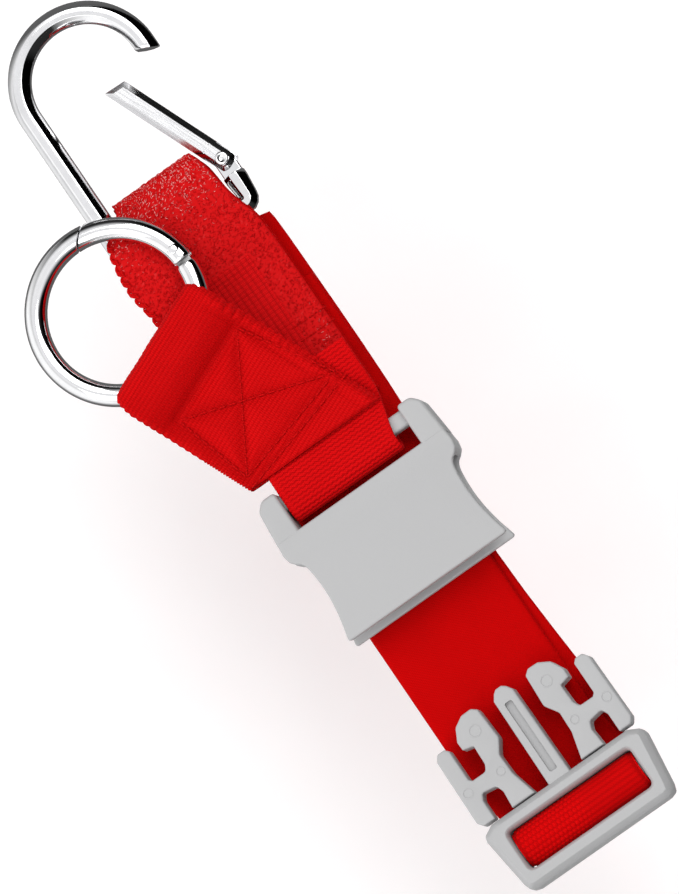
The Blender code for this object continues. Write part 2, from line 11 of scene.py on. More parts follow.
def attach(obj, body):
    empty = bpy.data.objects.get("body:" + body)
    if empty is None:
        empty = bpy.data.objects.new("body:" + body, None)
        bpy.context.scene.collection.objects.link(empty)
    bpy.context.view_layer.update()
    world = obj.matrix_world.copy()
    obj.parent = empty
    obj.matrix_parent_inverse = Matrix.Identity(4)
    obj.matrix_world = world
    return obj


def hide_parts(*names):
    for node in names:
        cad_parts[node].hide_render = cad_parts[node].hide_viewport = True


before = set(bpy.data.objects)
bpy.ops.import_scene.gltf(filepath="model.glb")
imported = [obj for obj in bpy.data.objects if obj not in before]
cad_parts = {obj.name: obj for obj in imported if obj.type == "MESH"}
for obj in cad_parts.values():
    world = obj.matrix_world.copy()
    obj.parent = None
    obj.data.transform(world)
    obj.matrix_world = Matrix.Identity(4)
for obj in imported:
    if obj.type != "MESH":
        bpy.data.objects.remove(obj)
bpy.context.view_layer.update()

MM = 0.001
RNG = np.random.default_rng(7)

# Webbing: thicknesses, and the heights of the strap's three layers
WEB, TAB_WEB, LINK_WEB = 1.3, 1.7, 1.2
LOW_Z, HIGH_Z, FRONT_Z = 0.65, 2.25, 4.3
EDGE_THIN = 0.45  # thickness at a woven edge, as a share
PILE_END, PILE_LIFT = 0.4, 0.3
GAP_X, GAP_LOW, GAP_HIGH = -46.8, -2.8, 12.0  # the pile stops here for the hook tape
TAPE_X, TAPE_LOW, TAPE_HIGH = -46.9, -2.9, 12.1
CURLS, CURL_POINTS, CURL_SIDES = 7600, 5, 3

# Tab and link
TAB_TURN, TAB_END_X, TAB_LOW, TAB_HIGH = math.radians(23.0), 5.5, -20.4, 17.6
STITCH_BOX = [(-31.3, -0.2), (-20.2, -26.2), (2.1, -19.8), (-7.0, 14.5)]
STITCH_ROWS = [(0, 1), (1, 2), (2, 3), (3, 0), (0, 2), (1, 3)]
POCKET_END = -15.0
LINK_R = 3.25

# Hook, and its gate's pin
HOOK_Z, SHANK_Y, STUB_Y, ARC_X, BASE_X, CORNER_R = 4.9, -15.0, 20.6, -108.7, -58.0, 6.0
HALF_HOOK, HALF_BAR, STUB_R = 2.98, 2.48, 1.6
HOOK_PIN = (-71.0, STUB_Y)
GATE_OPEN = math.radians(22.0)
GATE_HALF = 2.85

# Ring: centre, radius of its middle line, wire, and the places of the pin and of the seam
RING_C, RING_R, WIRE_R, RING_PIN_A, FREE_A = (-52.7, -23.4, 13.6), 21.6, 3.0, 102.2, 173.5
DEGREES_PER_MM = math.degrees(1 / RING_R)

# Buckle: bars as (x, z)
BUCKLE_Y, BUCKLE_Z, ARM_HALF_H = 3.0, 9.1, 3.2
PLUG_BAR, ROLL_R, SOCKET_BAR = (121.5, 8.4), 4.6, (12.5, 9.7)
FRAME_LOW, FRAME_HIGH = 4.5, 14.1
PLATE_LOW, PLATE_HIGH, CAVITY_LOW, CAVITY_HIGH = 3.5, 14.7, 5.2, 13.0
ARM_LOW, ARM_HIGH = BUCKLE_Z - ARM_HALF_H, BUCKLE_Z + ARM_HALF_H

# Studio
FLOOR_Z = -0.095  # the floor itself, clear of the hook when it hangs at right angles to the strap
CAMERA_AWAY, LENS = 3.0, 618.0

# Name, deep and pale colours, pitch across and along, twill, bump, and shade in the hollows
FABRICS = {
    "satin": ("satin_webbing", (0.44, 0.0, 0.0), (0.58, 0.0, 0.0005), 0.42, 0.9, 0.5, 0.35, 0.55),
    "ribbed": ("ribbed_webbing", (0.50, 0.0, 0.0005), (0.72, 0.005, 0.006), 0.55, 1.15, 0.0, 0.5, 0.78),
    "coarse": ("zigzag_webbing", (0.54, 0.0, 0.0005), (0.80, 0.006, 0.008), 0.42, 0.6, 0.5, 0.4, 0.6),
    "knit": ("knit_webbing", (0.56, 0.0, 0.0), (0.76, 0.002, 0.003), 0.42, 0.9, 0.5, 0.35, 0.55),
    "tape": ("hook_tape_weave", (0.56, 0.0, 0.001), (0.80, 0.012, 0.014), 0.45, 0.5, 0.0, 0.4, 0.72),
}


# ---------------------------------------------------------------- materials

class Nodes:
    """A short way to wire the nodes of a material or a world."""

    def __init__(self, name, kind="materials"):
        self.owner = getattr(bpy.data, kind).new(name)
        self.owner.use_nodes = True
        self.tree = self.owner.node_tree
        self.shader = self.tree.nodes.get("Principled BSDF")

    def put(self, value, target):
        """Links a socket to an input, or sets the input to a value."""
        if isinstance(value, bpy.types.NodeSocket):
            self.tree.links.new(value, target)
        else:
            target.default_value = value

    def add(self, kind, **inputs):
        node = self.tree.nodes.new(kind)
        for key, value in inputs.items():
            self.put(value, node.inputs[key.replace("_", " ")])
        return node

    def math(self, operation, *values):
        node = self.tree.nodes.new("ShaderNodeMath")
        node.operation = operation
        for value, target in zip(values, node.inputs):
            self.put(value, target)
        return node.outputs[0]

    def coords(self, kind="Object"):
        return self.add("ShaderNodeTexCoord").outputs[kind]

    def split(self, vector):
        return self.add("ShaderNodeSeparateXYZ", Vector=vector).outputs

    # The tone attribute: painted shade in the cloth's hollows, painted highlights on the pile's loops.
    def tone(self):
        node = self.add("ShaderNodeAttribute")
        node.attribute_name = "tone"
        return node.outputs["Fac"]

    def noise(self, vector, scale, detail=4.0, rough=0.6):
        return self.add("ShaderNodeTexNoise", Vector=vector, Scale=scale, Detail=detail,
                        Roughness=rough).outputs["Fac"]

    def span(self, value, **limits):
        return self.add("ShaderNodeMapRange", Value=value, **limits).outputs["Result"]

    def ramp(self, fac, low, high, start=0.3, end=0.7):
        node = self.add("ShaderNodeValToRGB", Fac=fac)
        for element, place, colour in zip(node.color_ramp.elements, (start, end), (low, high)):
            element.position, element.color = place, (*colour, 1.0)
        return node.outputs["Color"]

    def mix(self, fac, a, b, mode="MIX"):
        node = self.add("ShaderNodeMix")
        node.data_type, node.blend_type = "RGBA", mode
        for value, key in ((fac, 0), (a, 6), (b, 7)):
            self.put((*value, 1.0) if isinstance(value, tuple) else value, node.inputs[key])
        return node.outputs[2]

    def bump(self, height, strength, distance):
        node = self.add("ShaderNodeBump", Height=height, Strength=strength, Distance=distance * MM)
        self.put(node.outputs["Normal"], self.shader.inputs["Normal"])

    def colour(self, socket):
        self.put(socket, self.shader.inputs["Base Color"])

    def rough(self, fac, low, high):
        self.put(self.span(fac, To_Min=low, To_Max=high), self.shader.inputs["Roughness"])

    def set(self, **values):
        for key, value in values.items():
            self.shader.inputs[key.replace("_", " ")].default_value = value


def weave_height(n, across, along, twill):
    """Threads crossing at a given pitch in millimetres, on a UV map in millimetres."""
    u, v, _ = n.split(n.coords("UV"))
    lean = n.math("ADD", n.math("MULTIPLY", u, 2 * math.pi / along),
                  n.math("MULTIPLY", v, twill * 2 * math.pi / across))
    warp = n.math("ABSOLUTE", n.math("SINE", n.math("MULTIPLY", v, math.pi / across)))
    weft = n.math("ABSOLUTE", n.math("SINE", n.math("MULTIPLY", lean, 0.5)))
    return n.math("MULTIPLY", n.math("POWER", warp, 0.6), n.math("POWER", weft, 0.6))


def fabric(name, deep, pale, across, along, twill, strength, hollow):
    """A woven cloth: colour by thread height, deep in the weave's low places as painted shade, with slow
    patches and a little sheen.
    """
    n = Nodes(name)
    height = weave_height(n, across, along, twill)
    grain = n.noise(n.coords(), 1400.0, 3.0)
    patches = n.noise(n.coords(), 55.0, 4.0, 0.55)
    thread = n.ramp(n.math("ADD", n.math("MULTIPLY", height, 0.75), n.math("MULTIPLY", grain, 0.25)),
                    deep, pale, 0.1, 0.95)
    dark = tuple(c * 0.78 for c in deep)
    cloth = n.mix(n.math("MULTIPLY", n.ramp(patches, (0, 0, 0), (1, 1, 1), 0.35, 0.7), 0.25),
                  thread, dark)
    # painted shade: the tone darkens the hollows of the piece's relief
    depth = n.ramp(n.tone(), (hollow,) * 3, (1, 1, 1), 0.05, 0.75)
    n.colour(n.mix(1.0, cloth, depth, "MULTIPLY"))
    n.rough(grain, 0.62, 0.9)
    n.bump(n.math("ADD", height, n.math("MULTIPLY", grain, 0.5)), strength, 0.22)
    n.set(Sheen_Weight=0.05, Sheen_Roughness=0.45, Sheen_Tint=(1.0, 0.2, 0.2, 1.0),
          Specular_IOR_Level=0.04)
    return n.owner


def pile_material():
    """Napped yarn: most of it red, the tips of some loops painted pale as highlights."""
    n = Nodes("loop_pile_yarn")
    fine = n.noise(n.coords(), 900.0, 2.0)
    red = n.ramp(n.tone(), (0.50, 0.0, 0.001), (0.60, 0.002, 0.003), 0.0, 0.7)
    # the painted highlight colour, for the highest tones
    n.colour(n.mix(n.ramp(n.tone(), (0, 0, 0), (1, 1, 1), 0.70, 1.0), red, (1.0, 0.50, 0.48)))
    n.rough(fine, 0.5, 0.85)
    n.bump(fine, 0.3, 0.1)
    n.set(Sheen_Weight=0.02, Sheen_Roughness=0.4, Specular_IOR_Level=0.10)
    return n.owner


def thread_material():
    """Twisted thread: a ply line runs round each tube, painted darker in its groove as shade, and the
    fuzz mottles it.
    """
    n = Nodes("sewing_thread")
    u, v, _ = n.split(n.coords("UV"))
    ply = n.math("SINE", n.math("ADD", n.math("MULTIPLY", u, 9.0), n.math("MULTIPLY", v, 6.2832)))
    fuzz = n.noise(n.coords(), 1200.0, 2.0)
    n.colour(n.ramp(n.math("MULTIPLY_ADD", ply, 0.25, fuzz), (0.46, 0.0, 0.0), (0.66, 0.003, 0.004),
                    0.2, 0.9))
    n.rough(fuzz, 0.45, 0.75)
    n.bump(ply, 0.5, 0.08)
    n.set(Sheen_Weight=0.02, Specular_IOR_Level=0.06)
    return n.owner


def chrome_material():
    n = Nodes("polished_chrome")
    haze = n.noise(n.coords(), 160.0, 5.0, 0.65)
    fine = n.noise(n.coords(), 2600.0, 2.0)
    n.colour(n.ramp(haze, (0.80, 0.80, 0.81), (0.92, 0.92, 0.93), 0.3, 0.75))
    n.rough(haze, 0.03, 0.10)
    n.bump(n.math("ADD", fine, n.math("MULTIPLY", haze, 3.0)), 0.05, 0.05)
    n.set(Metallic=1.0)
    return n.owner


def brushed_material():
    """Steel ground along the lever, which lies near the X axis."""
    n = Nodes("brushed_steel")
    stretch = n.add("ShaderNodeMapping", Vector=n.coords())
    stretch.vector_type = "TEXTURE"
    stretch.inputs["Rotation"].default_value = (0.0, 0.0, GATE_OPEN)
    stretch.inputs["Scale"].default_value = (25.0, 1.0, 1.0)
    lines = n.noise(stretch.outputs["Vector"], 2200.0, 3.0)
    slow = n.noise(n.coords(), 110.0, 3.0)
    ground = n.ramp(lines, (0.62, 0.62, 0.63), (0.86, 0.86, 0.87))
    n.colour(n.mix(n.math("MULTIPLY", slow, 0.6), ground, (0.80, 0.80, 0.81)))
    n.rough(lines, 0.10, 0.20)
    n.bump(lines, 0.10, 0.05)
    n.set(Metallic=1.0)
    return n.owner


def steel_material(name, dark, pale):
    n = Nodes(name)
    lines = n.noise(n.coords(), 900.0, 4.0)
    n.colour(n.ramp(lines, (dark,) * 3, (pale,) * 3))
    n.rough(lines, 0.18, 0.38)
    n.bump(lines, 0.15, 0.05)
    n.set(Metallic=1.0)
    return n.owner


def plastic_material():
    """Grey acetal with a spark-eroded grain, a little glossier where it has been handled."""
    n = Nodes("grey_moulding")
    grain = n.noise(n.coords(), 2400.0, 3.0, 0.7)
    slow = n.noise(n.coords(), 90.0, 3.0)
    n.colour(n.mix(n.math("MULTIPLY", grain, 0.35), (0.45, 0.45, 0.453), (0.40, 0.40, 0.403)))
    n.rough(slow, 0.42, 0.58)
    n.bump(n.math("ADD", grain, n.math("MULTIPLY", slow, 0.6)), 0.38, 0.07)
    n.set(Specular_IOR_Level=0.42)
    return n.owner


def floor_material():
    """Pale to the camera. What the chrome mirrors is white on one side and dark on the other."""
    n = Nodes("pale_floor")
    grain = n.noise(n.coords(), 30.0, 3.0)
    pale = n.ramp(grain, (0.96, 0.96, 0.96), (0.985, 0.985, 0.985))
    y = n.split(n.coords())["Y"]
    flag = n.ramp(n.math("MULTIPLY_ADD", y, 0.5, 0.5), (0.92, 0.92, 0.92), (0.05, 0.05, 0.05),
                  0.20, 0.42)
    glossy = n.add("ShaderNodeLightPath").outputs["Is Glossy Ray"]
    n.colour(n.mix(glossy, pale, flag))
    n.rough(grain, 0.7, 0.8)
    n.set(Specular_IOR_Level=0.0, Emission_Color=(1.0, 1.0, 1.0, 1.0), Emission_Strength=0.07)
    return n.owner


# ---------------------------------------------------------------- mesh tools

def new_mesh(name, verts, faces):
    mesh = bpy.data.meshes.new(name)
    mesh.from_pydata((np.asarray(verts, float) * MM).tolist(), [], [tuple(f) for f in faces])
    return mesh


def placed(name, data):
    """An object in the scene that shows this mesh, light or camera."""
    obj = bpy.data.objects.new(name, data)
    bpy.context.scene.collection.objects.link(obj)
    return obj


def add_mesh(name, verts, faces, mat, body, slot, nodes, uv=None, tone=None, sharp=None):
    """A visible piece from points in millimetres. uv is one pair for each face corner, tone is one
    value for each point, and edges over sharp degrees are drawn as edges."""
    mesh = new_mesh(name, verts, faces)
    if uv is not None:
        layer = mesh.uv_layers.new(name="UVMap")
        layer.data.foreach_set("uv", np.asarray(uv, float).ravel())
    if tone is not None:
        layer = mesh.attributes.new("tone", "FLOAT", "POINT")
        layer.data.foreach_set("value", np.asarray(tone, float))
    mesh.materials.append(mat)
    mesh.shade_smooth()
    if sharp:
        mesh.set_sharp_from_angle(angle=math.radians(sharp))
    mesh.update()
    obj = placed(name, mesh)
    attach(obj, body)
    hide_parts(*nodes)
    return obj


def loft(sections, closed_path=False):
    """Faces between closed sections of equal size, with flat ends, for points in order."""
    count, size = sections.shape[:2]
    spans = count if closed_path else count - 1
    i, k = np.meshgrid(np.arange(spans), np.arange(size), indexing="ij")
    nxt, turn = (i + 1) % count, (k + 1) % size
    quads = np.stack([i * size + k, i * size + turn, nxt * size + turn, nxt * size + k], -1)
    faces = quads.reshape(-1, 4).tolist()
    if not closed_path:
        faces.append(list(range(size))[::-1])
        faces.append([(count - 1) * size + k for k in range(size)])
    return sections.reshape(-1, 3), faces


def bell(x, width):
    return np.exp(-(x / width) ** 2)


def wave(x, pitch):
    """One arch from 0 to 1 for each pitch."""
    return np.abs(np.sin(x * math.pi / pitch))


def fan(start, end, count):
    """Angles in radians between two in degrees."""
    return np.radians(np.linspace(start, end, count))


def unit(vectors):
    return vectors / np.linalg.norm(vectors, axis=1, keepdims=True)


def resample(points, step):
    """Points at even steps along a polyline, in any number of coordinates; x, z come first."""
    points = np.asarray(points, float)
    run = np.r_[0, np.cumsum(np.hypot(*np.diff(points[:, :2], axis=0).T))]
    at = np.linspace(0, run[-1], max(3, int(round(run[-1] / step)) + 1))
    return at, np.stack([np.interp(at, run, column) for column in points.T], 1)


def smooth(points, per_span=8):
    """A Catmull-Rom curve through the points."""
    points = np.asarray(points, float)
    padded = np.vstack([points[:1], points, points[-1:]])
    t = np.linspace(0, 1, per_span, endpoint=False)[:, None]
    out = []
    for i in range(1, len(padded) - 2):
        a, b, c, d = padded[i - 1:i + 3]
        out.append(0.5 * (2 * b + (c - a) * t + (2 * a - 5 * b + 4 * c - d) * t ** 2
                          + (3 * b - a - 3 * c + d) * t ** 3))
    return np.vstack(out + [points[-1:]])


class Path:
    """A strip's middle line in a vertical plane, with its two edges: rows of (x, z, low, high)."""

    def __init__(self, rows, step):
        self.at, rows = resample(rows, step)
        self.x, self.z, self.low, self.high = rows.T
        run = np.stack([np.gradient(self.x), np.gradient(self.z)], 1)
        run = unit(run)
        self.nx, self.nz = run[:, 1], -run[:, 0]

    def place(self, at, across, height):
        """World points at a length along the strip, a share of its width, and a height off it."""
        def value(column):
            return np.interp(at, self.at, column)
        low, high = value(self.low), value(self.high)
        return np.stack([value(self.x) + value(self.nx) * height,
                         low + (high - low) * across,
                         value(self.z) + value(self.nz) * height], -1)


def strip_mesh(path, columns, thick, top):
    """A closed strip. top is its relief at (length, millimetres across)."""
    width = np.mean(path.high - path.low)
    at, across = np.meshgrid(path.at, np.linspace(0, 1, columns), indexing="ij")
    mm_across = across * width
    from_edge = np.minimum(mm_across, width - mm_across)
    taper = 1 - (1 - EDGE_THIN) * bell(from_edge, 0.7)
    relief = top(at, mm_across)
    high = path.place(at, across, thick / 2 * taper + relief)
    low = path.place(at, across, -thick / 2 * taper)
    verts, faces = loft(np.concatenate([high, low[:, ::-1]], axis=1))
    length = np.repeat(path.at[:, None], 2 * columns, 1)
    uv = corner_uv(faces, length, np.concatenate([mm_across, mm_across[:, ::-1]], 1))
    # the tone follows the relief, so its hollows are painted darker as shade
    tone = np.concatenate([relief, np.full_like(relief, np.median(relief))], 1).ravel()
    return verts, faces, uv, spread(tone)


def corner_uv(faces, u, v):
    """A pair for each face corner, from values for each point."""
    coords = np.stack([u, v], -1).reshape(-1, 2)
    return np.concatenate([coords[f] for f in faces])


def spread(heights):
    """Heights as 0 in the hollows to 1 on the crests."""
    low, high = np.percentile(heights, (4, 96))
    return np.clip((heights - low) / max(high - low, 1e-6), 0, 1)


def tubes(paths, radii, sides):
    """Round threads along paths of equal point counts: (threads, points, 3). Closed at both ends."""
    paths = np.asarray(paths, float)
    count, points = paths.shape[:2]
    run = np.gradient(paths, axis=1)
    run /= np.linalg.norm(run, axis=2, keepdims=True) + 1e-9
    guide = np.where(np.abs(run[..., 2:3]) > 0.9, [[[1.0, 0, 0]]], [[[0, 0, 1.0]]])
    side = np.cross(run, guide)
    side /= np.linalg.norm(side, axis=2, keepdims=True) + 1e-9
    up = np.cross(side, run)
    turn = np.linspace(0, 2 * math.pi, sides, endpoint=False)
    radii = np.broadcast_to(np.asarray(radii, float).reshape(-1, 1, 1, 1), (count, points, sides, 1))
    ends = np.ones(points)
    ends[0] = ends[-1] = 0.55
    ring = (side[:, :, None] * np.cos(turn)[None, None, :, None]
            + up[:, :, None] * np.sin(turn)[None, None, :, None])
    verts = paths[:, :, None] + ring * radii * ends[None, :, None, None]
    n, i, k = np.meshgrid(np.arange(count), np.arange(points - 1), np.arange(sides), indexing="ij")
    base, turned = (n * points + i) * sides, (k + 1) % sides
    quads = np.stack([base + k, base + turned, base + sides + turned, base + sides + k], -1)
    faces = quads.reshape(-1, 4).tolist()
    for t in range(count):
        first, last = t * points * sides, (t * points + points - 1) * sides
        faces.append(list(range(first, first + sides))[::-1])
        faces.append(list(range(last, last + sides)))
    length = np.concatenate([np.zeros((count, 1)), np.cumsum(
        np.linalg.norm(np.diff(paths, axis=1), axis=2), axis=1)], 1)
    around = np.broadcast_arrays(length[:, :, None], np.arange(sides)[None, None] / sides)
    return verts.reshape(-1, 3), faces, corner_uv(faces, *around)


def add_threads(name, paths, radii, sides, mat, body, slot, nodes, tone=None):
    verts, faces, uv = tubes(paths, radii, sides)
    add_mesh(name, verts, faces, mat, body, slot, nodes, uv, tone)


def offset_outline(outline, inset):
    """An outline moved inwards along its corner bisectors. Points run anticlockwise."""
    p = np.asarray(outline, float)
    a = p - np.roll(p, 1, 0)
    b = np.roll(p, -1, 0) - p
    a = unit(a)
    b = unit(b)
    na, nb = np.stack([-a[:, 1], a[:, 0]], 1), np.stack([-b[:, 1], b[:, 0]], 1)
    bisector = na + nb
    scale = 2 / np.maximum((bisector ** 2).sum(1, keepdims=True), 0.6)
    return p + bisector * scale * inset


def turns_left(p):
    """Whether an outline runs anticlockwise."""
    x, y = p.T
    return (x * np.roll(y, -1) - np.roll(x, -1) * y).sum() > 0


def anticlockwise(outline):
    p = np.asarray(outline, float)
    return p if turns_left(p) else p[::-1]


def fillet(outline, radius, steps=4):
    """An outline with each corner rounded. radius is one value or one for each point."""
    p = np.asarray(outline, float)
    radii = np.broadcast_to(radius, len(p))
    out = []
    for i, here in enumerate(p):
        a, b = p[i - 1] - here, p[(i + 1) % len(p)] - here
        la, lb = np.linalg.norm(a), np.linalg.norm(b)
        half = math.acos(np.clip(a @ b / (la * lb), -1, 1)) / 2
        reach = min(radii[i] / max(math.tan(half), 1e-3), 0.47 * la, 0.47 * lb)
        start, end = here + a / la * reach, here + b / lb * reach
        for t in np.linspace(0, 1, steps + 1):
            out.append((1 - t) ** 2 * start + 2 * t * (1 - t) * here + t * t * end)
    return np.array(out)


def rounded_prism(corners, soft, low, high, round_high, round_low=0.15, steps=4):
    """A polygon raised from low to high. Its upright corners have the soft radii, and its two
    rims are rounded. Returns points and faces."""
    corners = np.asarray(corners, float)
    radii = np.array(np.broadcast_to(soft, len(corners)), float)
    if not turns_left(corners):
        corners, radii = corners[::-1], radii[::-1]
    before, after = corners - np.roll(corners, 1, 0), np.roll(corners, -1, 0) - corners
    hollow = before[:, 0] * after[:, 1] - before[:, 1] * after[:, 0] < 0
    turn = np.linspace(0, math.pi / 2, steps + 1)
    levels = [(round_low * (1 - math.sin(t)), low + round_low * (1 - math.cos(t))) for t in turn]
    levels += [(round_high * (1 - math.cos(t)), high - round_high * (1 - math.sin(t))) for t in turn]
    sections = []
    for inset, z in levels:
        inner = np.maximum(radii + np.where(hollow, inset, -inset), 0.12 * np.maximum(radii, 0.1))
        flat = fillet(offset_outline(corners, inset), inner)
        sections.append(np.column_stack([flat, np.full(len(flat), z)]))
    return loft(np.array(sections))


def merged(parts):
    """Several (points, faces) as one."""
    verts, faces, start = [], [], 0
    for points, polygons in parts:
        verts.append(points)
        faces += [[i + start for i in f] for f in polygons]
        start += len(points)
    return np.vstack(verts), faces


def flipped(faces):
    return [f[::-1] for f in faces]


def cut(obj, verts, faces):
    """Cuts a closed shape out of a piece and applies the result."""
    tool = placed("tool", new_mesh("tool", verts, faces))
    mod = obj.modifiers.new("cut", "BOOLEAN")
    mod.operation, mod.solver, mod.object = "DIFFERENCE", "EXACT", tool
    bpy.context.view_layer.update()
    done = bpy.data.meshes.new_from_object(obj.evaluated_get(bpy.context.evaluated_depsgraph_get()))
    obj.modifiers.remove(mod)
    obj.data = done
    bpy.data.objects.remove(tool)
    done.shade_smooth()
    done.set_sharp_from_angle(angle=math.radians(35))


# ---------------------------------------------------------------- webbing

def strap_rows():
    """The strap from the end of its pile layer, round the hook, along the table, round the plug's
    bar and back between the other two layers."""
    pile = (-17.4, 20.6)
    front = smooth([
        (1.2, FRONT_Z, *pile), (-14, FRONT_Z, *pile), (-30, FRONT_Z, *pile), (-40, 4.6, *pile),
        (-48, 6.3, -17.6, 20.6),
        (-54, 7.95, -18.4, 20.2), (-58, 8.42, -18.4, 18.9), (-63, 8.42, -17.8, 17.6),
        (-69, 8.3, -16.2, 16.8), (-74, 6.9, -10.6, 15.6), (-76.6, 3.8, -10.8, 14.2),
        (-75, 1.5, -11.0, 15.0), (-72, LOW_Z, -11.2, 16.0), (-66, LOW_Z, -11.2, 16.6)], 6)
    low = [(-55.6, LOW_Z, -11.2, 16.8), (-54.6, LOW_Z, -11.8, 18.0), (-53.8, LOW_Z, -12.2, 22.4)]
    low += list(smooth([
        (-52, LOW_Z, -13.0, 22.7), (-40, LOW_Z, -15.0, 23.0), (0, LOW_Z, -15.0, 23.0),
        (53, LOW_Z, -16.7, 21.3), (98, LOW_Z, -14.5, 23.5), (108, LOW_Z, -15.0, 23.0),
        (111.3, 0.72, -15.8, 22.0), (114, 1.1, -16, 22), (117.5, 2.2, -16, 22)], 4))
    turn = fan(-80.0, 180.0, 40)
    bar = np.stack([PLUG_BAR[0] + ROLL_R * np.cos(turn), PLUG_BAR[1] + ROLL_R * np.sin(turn),
                    np.full(40, BUCKLE_Y - 18.5), np.full(40, BUCKLE_Y + 18.5)], 1)
    back = [(117.1, 5.2, -15.6, 21.6), (116.6, 3.8, -16, 22), (115.2, 3.1, -16, 22),
            (112.5, 2.5, -16.3, 21.6), (109, HIGH_Z, -17, 21), (98, HIGH_Z, -18.3, 19.7),
            (50, HIGH_Z, -18.3, 19.7), (0, HIGH_Z, -15.5, 22.5), (-34, HIGH_Z, -15.5, 22.6)]
    return front, np.vstack([front, np.array(low), bar, back])


def make_strap(mats):
    """The plain webbing, with a ladder of picks along both edges and a crown round the bar."""
    front, rows = strap_rows()
    path = Path(rows, 0.6)
    turn_start, turn_end = PLUG_BAR[0] - ROLL_R - 1.0, PLUG_BAR[0] + ROLL_R + 2.0

    def relief(at, across):
        width = np.mean(path.high - path.low)
        edge = np.minimum(across, width - across)
        x = np.interp(at, path.at, path.x)
        z = np.interp(at, path.at, path.z)
        ladder = 0.10 * bell(edge - 0.9, 0.7) * np.sin(at * 2 * math.pi / 2.4)
        slow = 0.05 * np.sin(at * 0.21 + across * 0.12) * np.sin(across * 0.33 + 1.0)
        on_roll = ((x > turn_start) & (x < turn_end) & (z > 5.5)).astype(float)
        crown = -0.9 * bell(edge, 1.5) - 0.1
        return ladder + slow * (1 - on_roll) + on_roll * crown

    verts, faces, uv, _ = strip_mesh(path, 57, WEB, relief)
    tone = np.full(len(verts), 0.8)
    # painted shade: on the roll the tone follows the radius and drops at the edges beyond the crown
    roll = (verts[:, 0] > turn_start + 1.0) & (verts[:, 2] > 8.0)
    radius = np.hypot(verts[:, 0] - PLUG_BAR[0], verts[:, 2] - PLUG_BAR[1])
    tone[roll] = spread(radius[roll] - 0.2 * (np.abs(verts[roll, 1] - BUCKLE_Y) > 17.0))
    add_mesh("strap_cloth", verts, faces, mats["satin"], "strap", "strap_webbing", ["main_strap"],
             uv, tone)
    make_roll(mats)
    make_pile(front, mats)


def make_roll(mats):
    """The knitted face of the webbing where it wraps the plug's bar: raised dots in rows on the
    half away from the strap's far edge, plain fine rows on the other."""
    turn = fan(-30.0, 178.0, 60)
    radius = ROLL_R + WEB / 2 - 0.2
    rows = np.stack([PLUG_BAR[0] + radius * np.cos(turn), PLUG_BAR[1] + radius * np.sin(turn),
                     np.full(60, BUCKLE_Y - 18.75), np.full(60, BUCKLE_Y + 18.75)], 1)
    path = Path(rows, 0.2)
    row, column = 1.45, 1.25

    def knit(at, across):
        shift = 0.5 * (np.floor(at / row) % 2)
        fine = wave(at, row)
        dots = fine * np.abs(np.sin((across / column + shift) * math.pi))
        half = 1 / (1 + np.exp((across - 19.0) / 1.2))
        edge = np.minimum(across, 37.5 - across)
        crown = -0.5 * bell(edge, 0.9)
        return 0.30 * dots * half + 0.10 * fine * (1 - half) + crown

    # painted shade: the tone from the knit darkens its hollows and the sunk edges of the crown
    verts, faces, uv, tone = strip_mesh(path, 150, 0.5, knit)
    add_mesh("roll_cloth", verts, faces, mats["knit"], "strap", "strap_webbing", ["main_strap"], uv,
             0.25 + 0.75 * tone)


def lifted(front, distance):
    """Rows on the upper side of the front layer, for what is sewn on it."""
    run = np.gradient(front[:, :2], axis=0)
    run = unit(run)
    return np.array([(x + dz * distance, z - dx * distance, low + 0.3, high - 0.3)
                     for (x, z, low, high), (dx, dz) in zip(front, run)])


def make_pile(front, mats):
    """The napped layer: its ground, the loops on it, the hook tape in it and its serged edge."""
    keep = front[(front[:, 0] < PILE_END)]
    rows = lifted(keep, WEB / 2 + PILE_LIFT + 0.3)
    rows = rows[rows[:, 1] > 4.6]
    lumps = RNG.uniform(0, 6.28, 12)

    def nap(at, across):
        h = np.zeros_like(at)
        for i, phase in enumerate(lumps):
            h += np.sin(at * (0.9 + 0.5 * i) + phase) * np.sin(across * (3.1 - 0.21 * i) + 2 * phase)
        return 0.05 * h

    verts, faces, uv, _ = strip_mesh(Path(rows, 0.45), 70, 0.6, nap)
    tone = np.clip(0.66 + 0.05 * RNG.standard_normal(len(verts)), 0, 0.71)
    add_mesh("pile_ground", verts, faces, mats["pile"], "strap", "loop_pile", ["loop_pile"], uv, tone)
    make_curls(rows, mats)
    make_patch(keep, mats)
    make_overlock(rows, mats)


